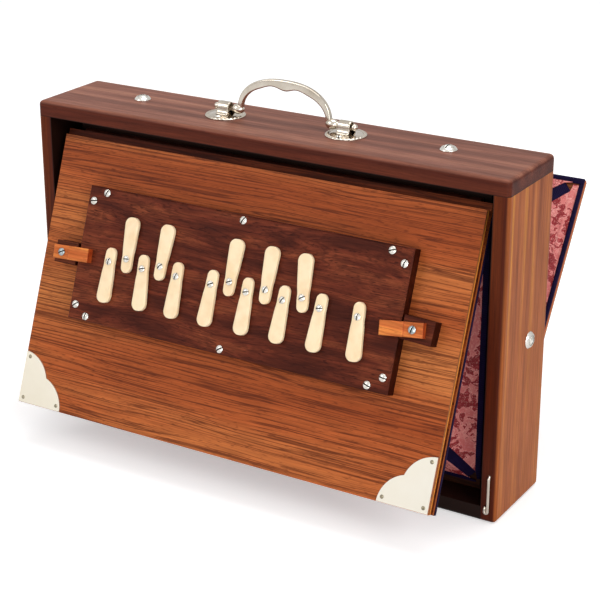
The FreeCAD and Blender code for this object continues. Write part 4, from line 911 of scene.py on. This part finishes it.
for number, ((column, z, angle), extra, groove) in enumerate(zip(rows, EXTRA_LEAN, GROOVES), 1):
    a, x = math.radians(angle + extra), PLATE_X + column * PITCH
    pivot = (to_row @ [x, PLATE_FACE - STOP_MIDDLE, z, 1])[:3]
    length = to_row[:3, :3] @ [math.sin(a), 0, math.cos(a)]
    width = to_row[:3, :3] @ [math.cos(a), 0, -math.sin(a)]
    lever = bar(f"stop_lever_{number:02d}", pivot + s[:, None] * length, half_width * width,
                np.tile(to_row[:3, 1] * STOP_HALF, (len(s), 1)), stop_resin, power=7.0)
    stands_for(lever, f"stop_{number:02d}", f"stop_{number:02d}")
    pivot_places.append(on_board(x, PIVOT_FACE, z, groove))
slotted_heads("stop_pivot_screws", pivot_places, 2.6, 1.3, (0.8, 0.8), "front_board")
print("stops made:", len(rows))

# %% [markdown]
# ## Wire hook
# A length of nickel-plated wire keeps the front shut. Its top end is bent into the case's
# edge, and its lower end is folded back on itself.

# %% Hook
HOOK_X, HOOK_Y, HOOK_TOP, HOOK_LOW, HOOK_BEND, HOOK_WIRE = 194.3, -38.95, 37.5, 9.4, 1.22, 1.1
BEND_STEPS, DROP_STEPS, FOLD_STEPS = 8, 12, 14
turn_in, fold = np.linspace(0, np.pi / 2, BEND_STEPS), np.linspace(0, np.pi, FOLD_STEPS + 1)[1:]
path = np.concatenate([
    [[HOOK_X, HOOK_Y + 9, HOOK_TOP]],
    np.stack([np.full(BEND_STEPS, HOOK_X), HOOK_Y + 2 * (1 - np.sin(turn_in)),
              HOOK_TOP - 2 * (1 - np.cos(turn_in))], -1),
    np.stack([np.full(DROP_STEPS, HOOK_X), np.full(DROP_STEPS, HOOK_Y),
              np.linspace(HOOK_TOP - 4, HOOK_LOW, DROP_STEPS)], -1),
    np.stack([HOOK_X - HOOK_BEND * (1 - np.cos(fold)), np.full(FOLD_STEPS, HOOK_Y),
              HOOK_LOW - HOOK_BEND * np.sin(fold)], -1),
    [[HOOK_X - 2 * HOOK_BEND + 0.2, HOOK_Y, HOOK_LOW + 2.0],
     [HOOK_X - 2 * HOOK_BEND, HOOK_Y, HOOK_LOW + 4.2]]])
along = directions(path)
depth = np.cross(along, [1.0, 0, 0])
depth[BEND_STEPS + DROP_STEPS:] = [0, -1, 0]
hook = bar("front_hook_wire", path, np.cross(depth, along) * HOOK_WIRE, depth * HOOK_WIRE,
           nickel_cast, power=2.0)
stands_for(hook, "front_hook", "hook")
print("hook", len(path), "sections")

# %% [markdown]
# ## Room and light
# A plain pale floor and soft light from large lamps, as in a product photograph. The main
# lamp stands at the right, so the front edges of the case are its darker ones, and a low
# one shines under the open board. The backdrop lights the box softly and is white to the
# camera, and the floor glows for the camera only as much as makes it nearly white.

# %% Floor
def light_rays(tree):
    """The light path's camera, glossy and transmission outputs."""
    kinds = ("Camera", "Glossy", "Transmission")
    return [add(tree, "LightPath", f"Is {kind} Ray") for kind in kinds]


pale_floor, tree, shader, _ = new_material("pale_floor")
add(tree, shader, Base_Color="#F2F2F2", Roughness=0.9)
camera_ray, glossy_ray, clear_ray = light_rays(tree)
partly = add(tree, "Math", operation="MULTIPLY", i0=glossy_ray, i1=0.2)
seen = add(tree, "Math", operation="MAXIMUM", i0=camera_ray, i1=partly)
seen = add(tree, "Math", operation="MAXIMUM", i0=seen, i1=clear_ray)
strength = add(tree, "Math", operation="MULTIPLY", i0=seen, i1=0.4)
glow = add(tree, "Emission", Color="#FFFFFF", Strength=strength)
both = add(tree, "AddShader", i0=shader.outputs[0], i1=glow)
add(tree, find(tree, "OUTPUT_MATERIAL"), Surface=both)
floor_mesh = bpy.data.meshes.new("floor")
floor_mesh.from_pydata([(-6, -6, 0), (6, -6, 0), (6, 6, 0), (-6, 6, 0)], [], [(0, 1, 2, 3)])
floor_mesh.materials.append(pale_floor)
floor = in_scene("floor", floor_mesh)
print("floor made")

# %% Backdrop: in reflections it is a little dimmer behind the box than in front
world = bpy.data.worlds.new("soft_room")
bpy.context.scene.world = world
world.use_nodes = True
tree = world.node_tree
camera_ray, glossy_ray, clear_ray = light_rays(tree)
seen = add(tree, "Math", operation="MAXIMUM", i0=camera_ray, i1=clear_ray)
level = add(tree, "MapRange", Value=seen, To_Min=0.42, To_Max=1.0)
depth_of_room = add(tree, "SeparateXYZ", "Y", Vector=add(tree, "TexCoord", "Generated"))
mirrored = add(tree, "MapRange", Value=depth_of_room, From_Min=-0.8, From_Max=0.5,
               To_Min=1.0, To_Max=0.75)
level = add(tree, "Mix", data_type="FLOAT", i0=glossy_ray, i2=level, i3=mirrored)
add(tree, find(tree, "BACKGROUND"), Color="#FFFFFF", Strength=level)
print("backdrop made")


# %% Lamps
AIM = Vector((0, 0, 0.12))


def lamp(name, place, size, watts):
    """A round area lamp that points at the box."""
    data = bpy.data.lights.new(name, "AREA")
    data.shape, data.size, data.energy = "DISK", size, watts
    obj = in_scene(name, data)
    obj.location = place
    obj.rotation_euler = (AIM - Vector(place)).to_track_quat("-Z", "Y").to_euler()


lamp("window_right", (1.9, -0.9, 1.3), 1.1, 20)
lamp("window_left", (-1.4, -1.8, 1.7), 1.3, 15)
lamp("low_front", (1.0, -1.6, 0.3), 0.8, 6)
lamp("ceiling", (0.1, 0.3, 2.4), 1.8, 22)
bpy.context.scene.view_settings.view_transform = "Standard"
print("lamps:", len(bpy.data.lights))
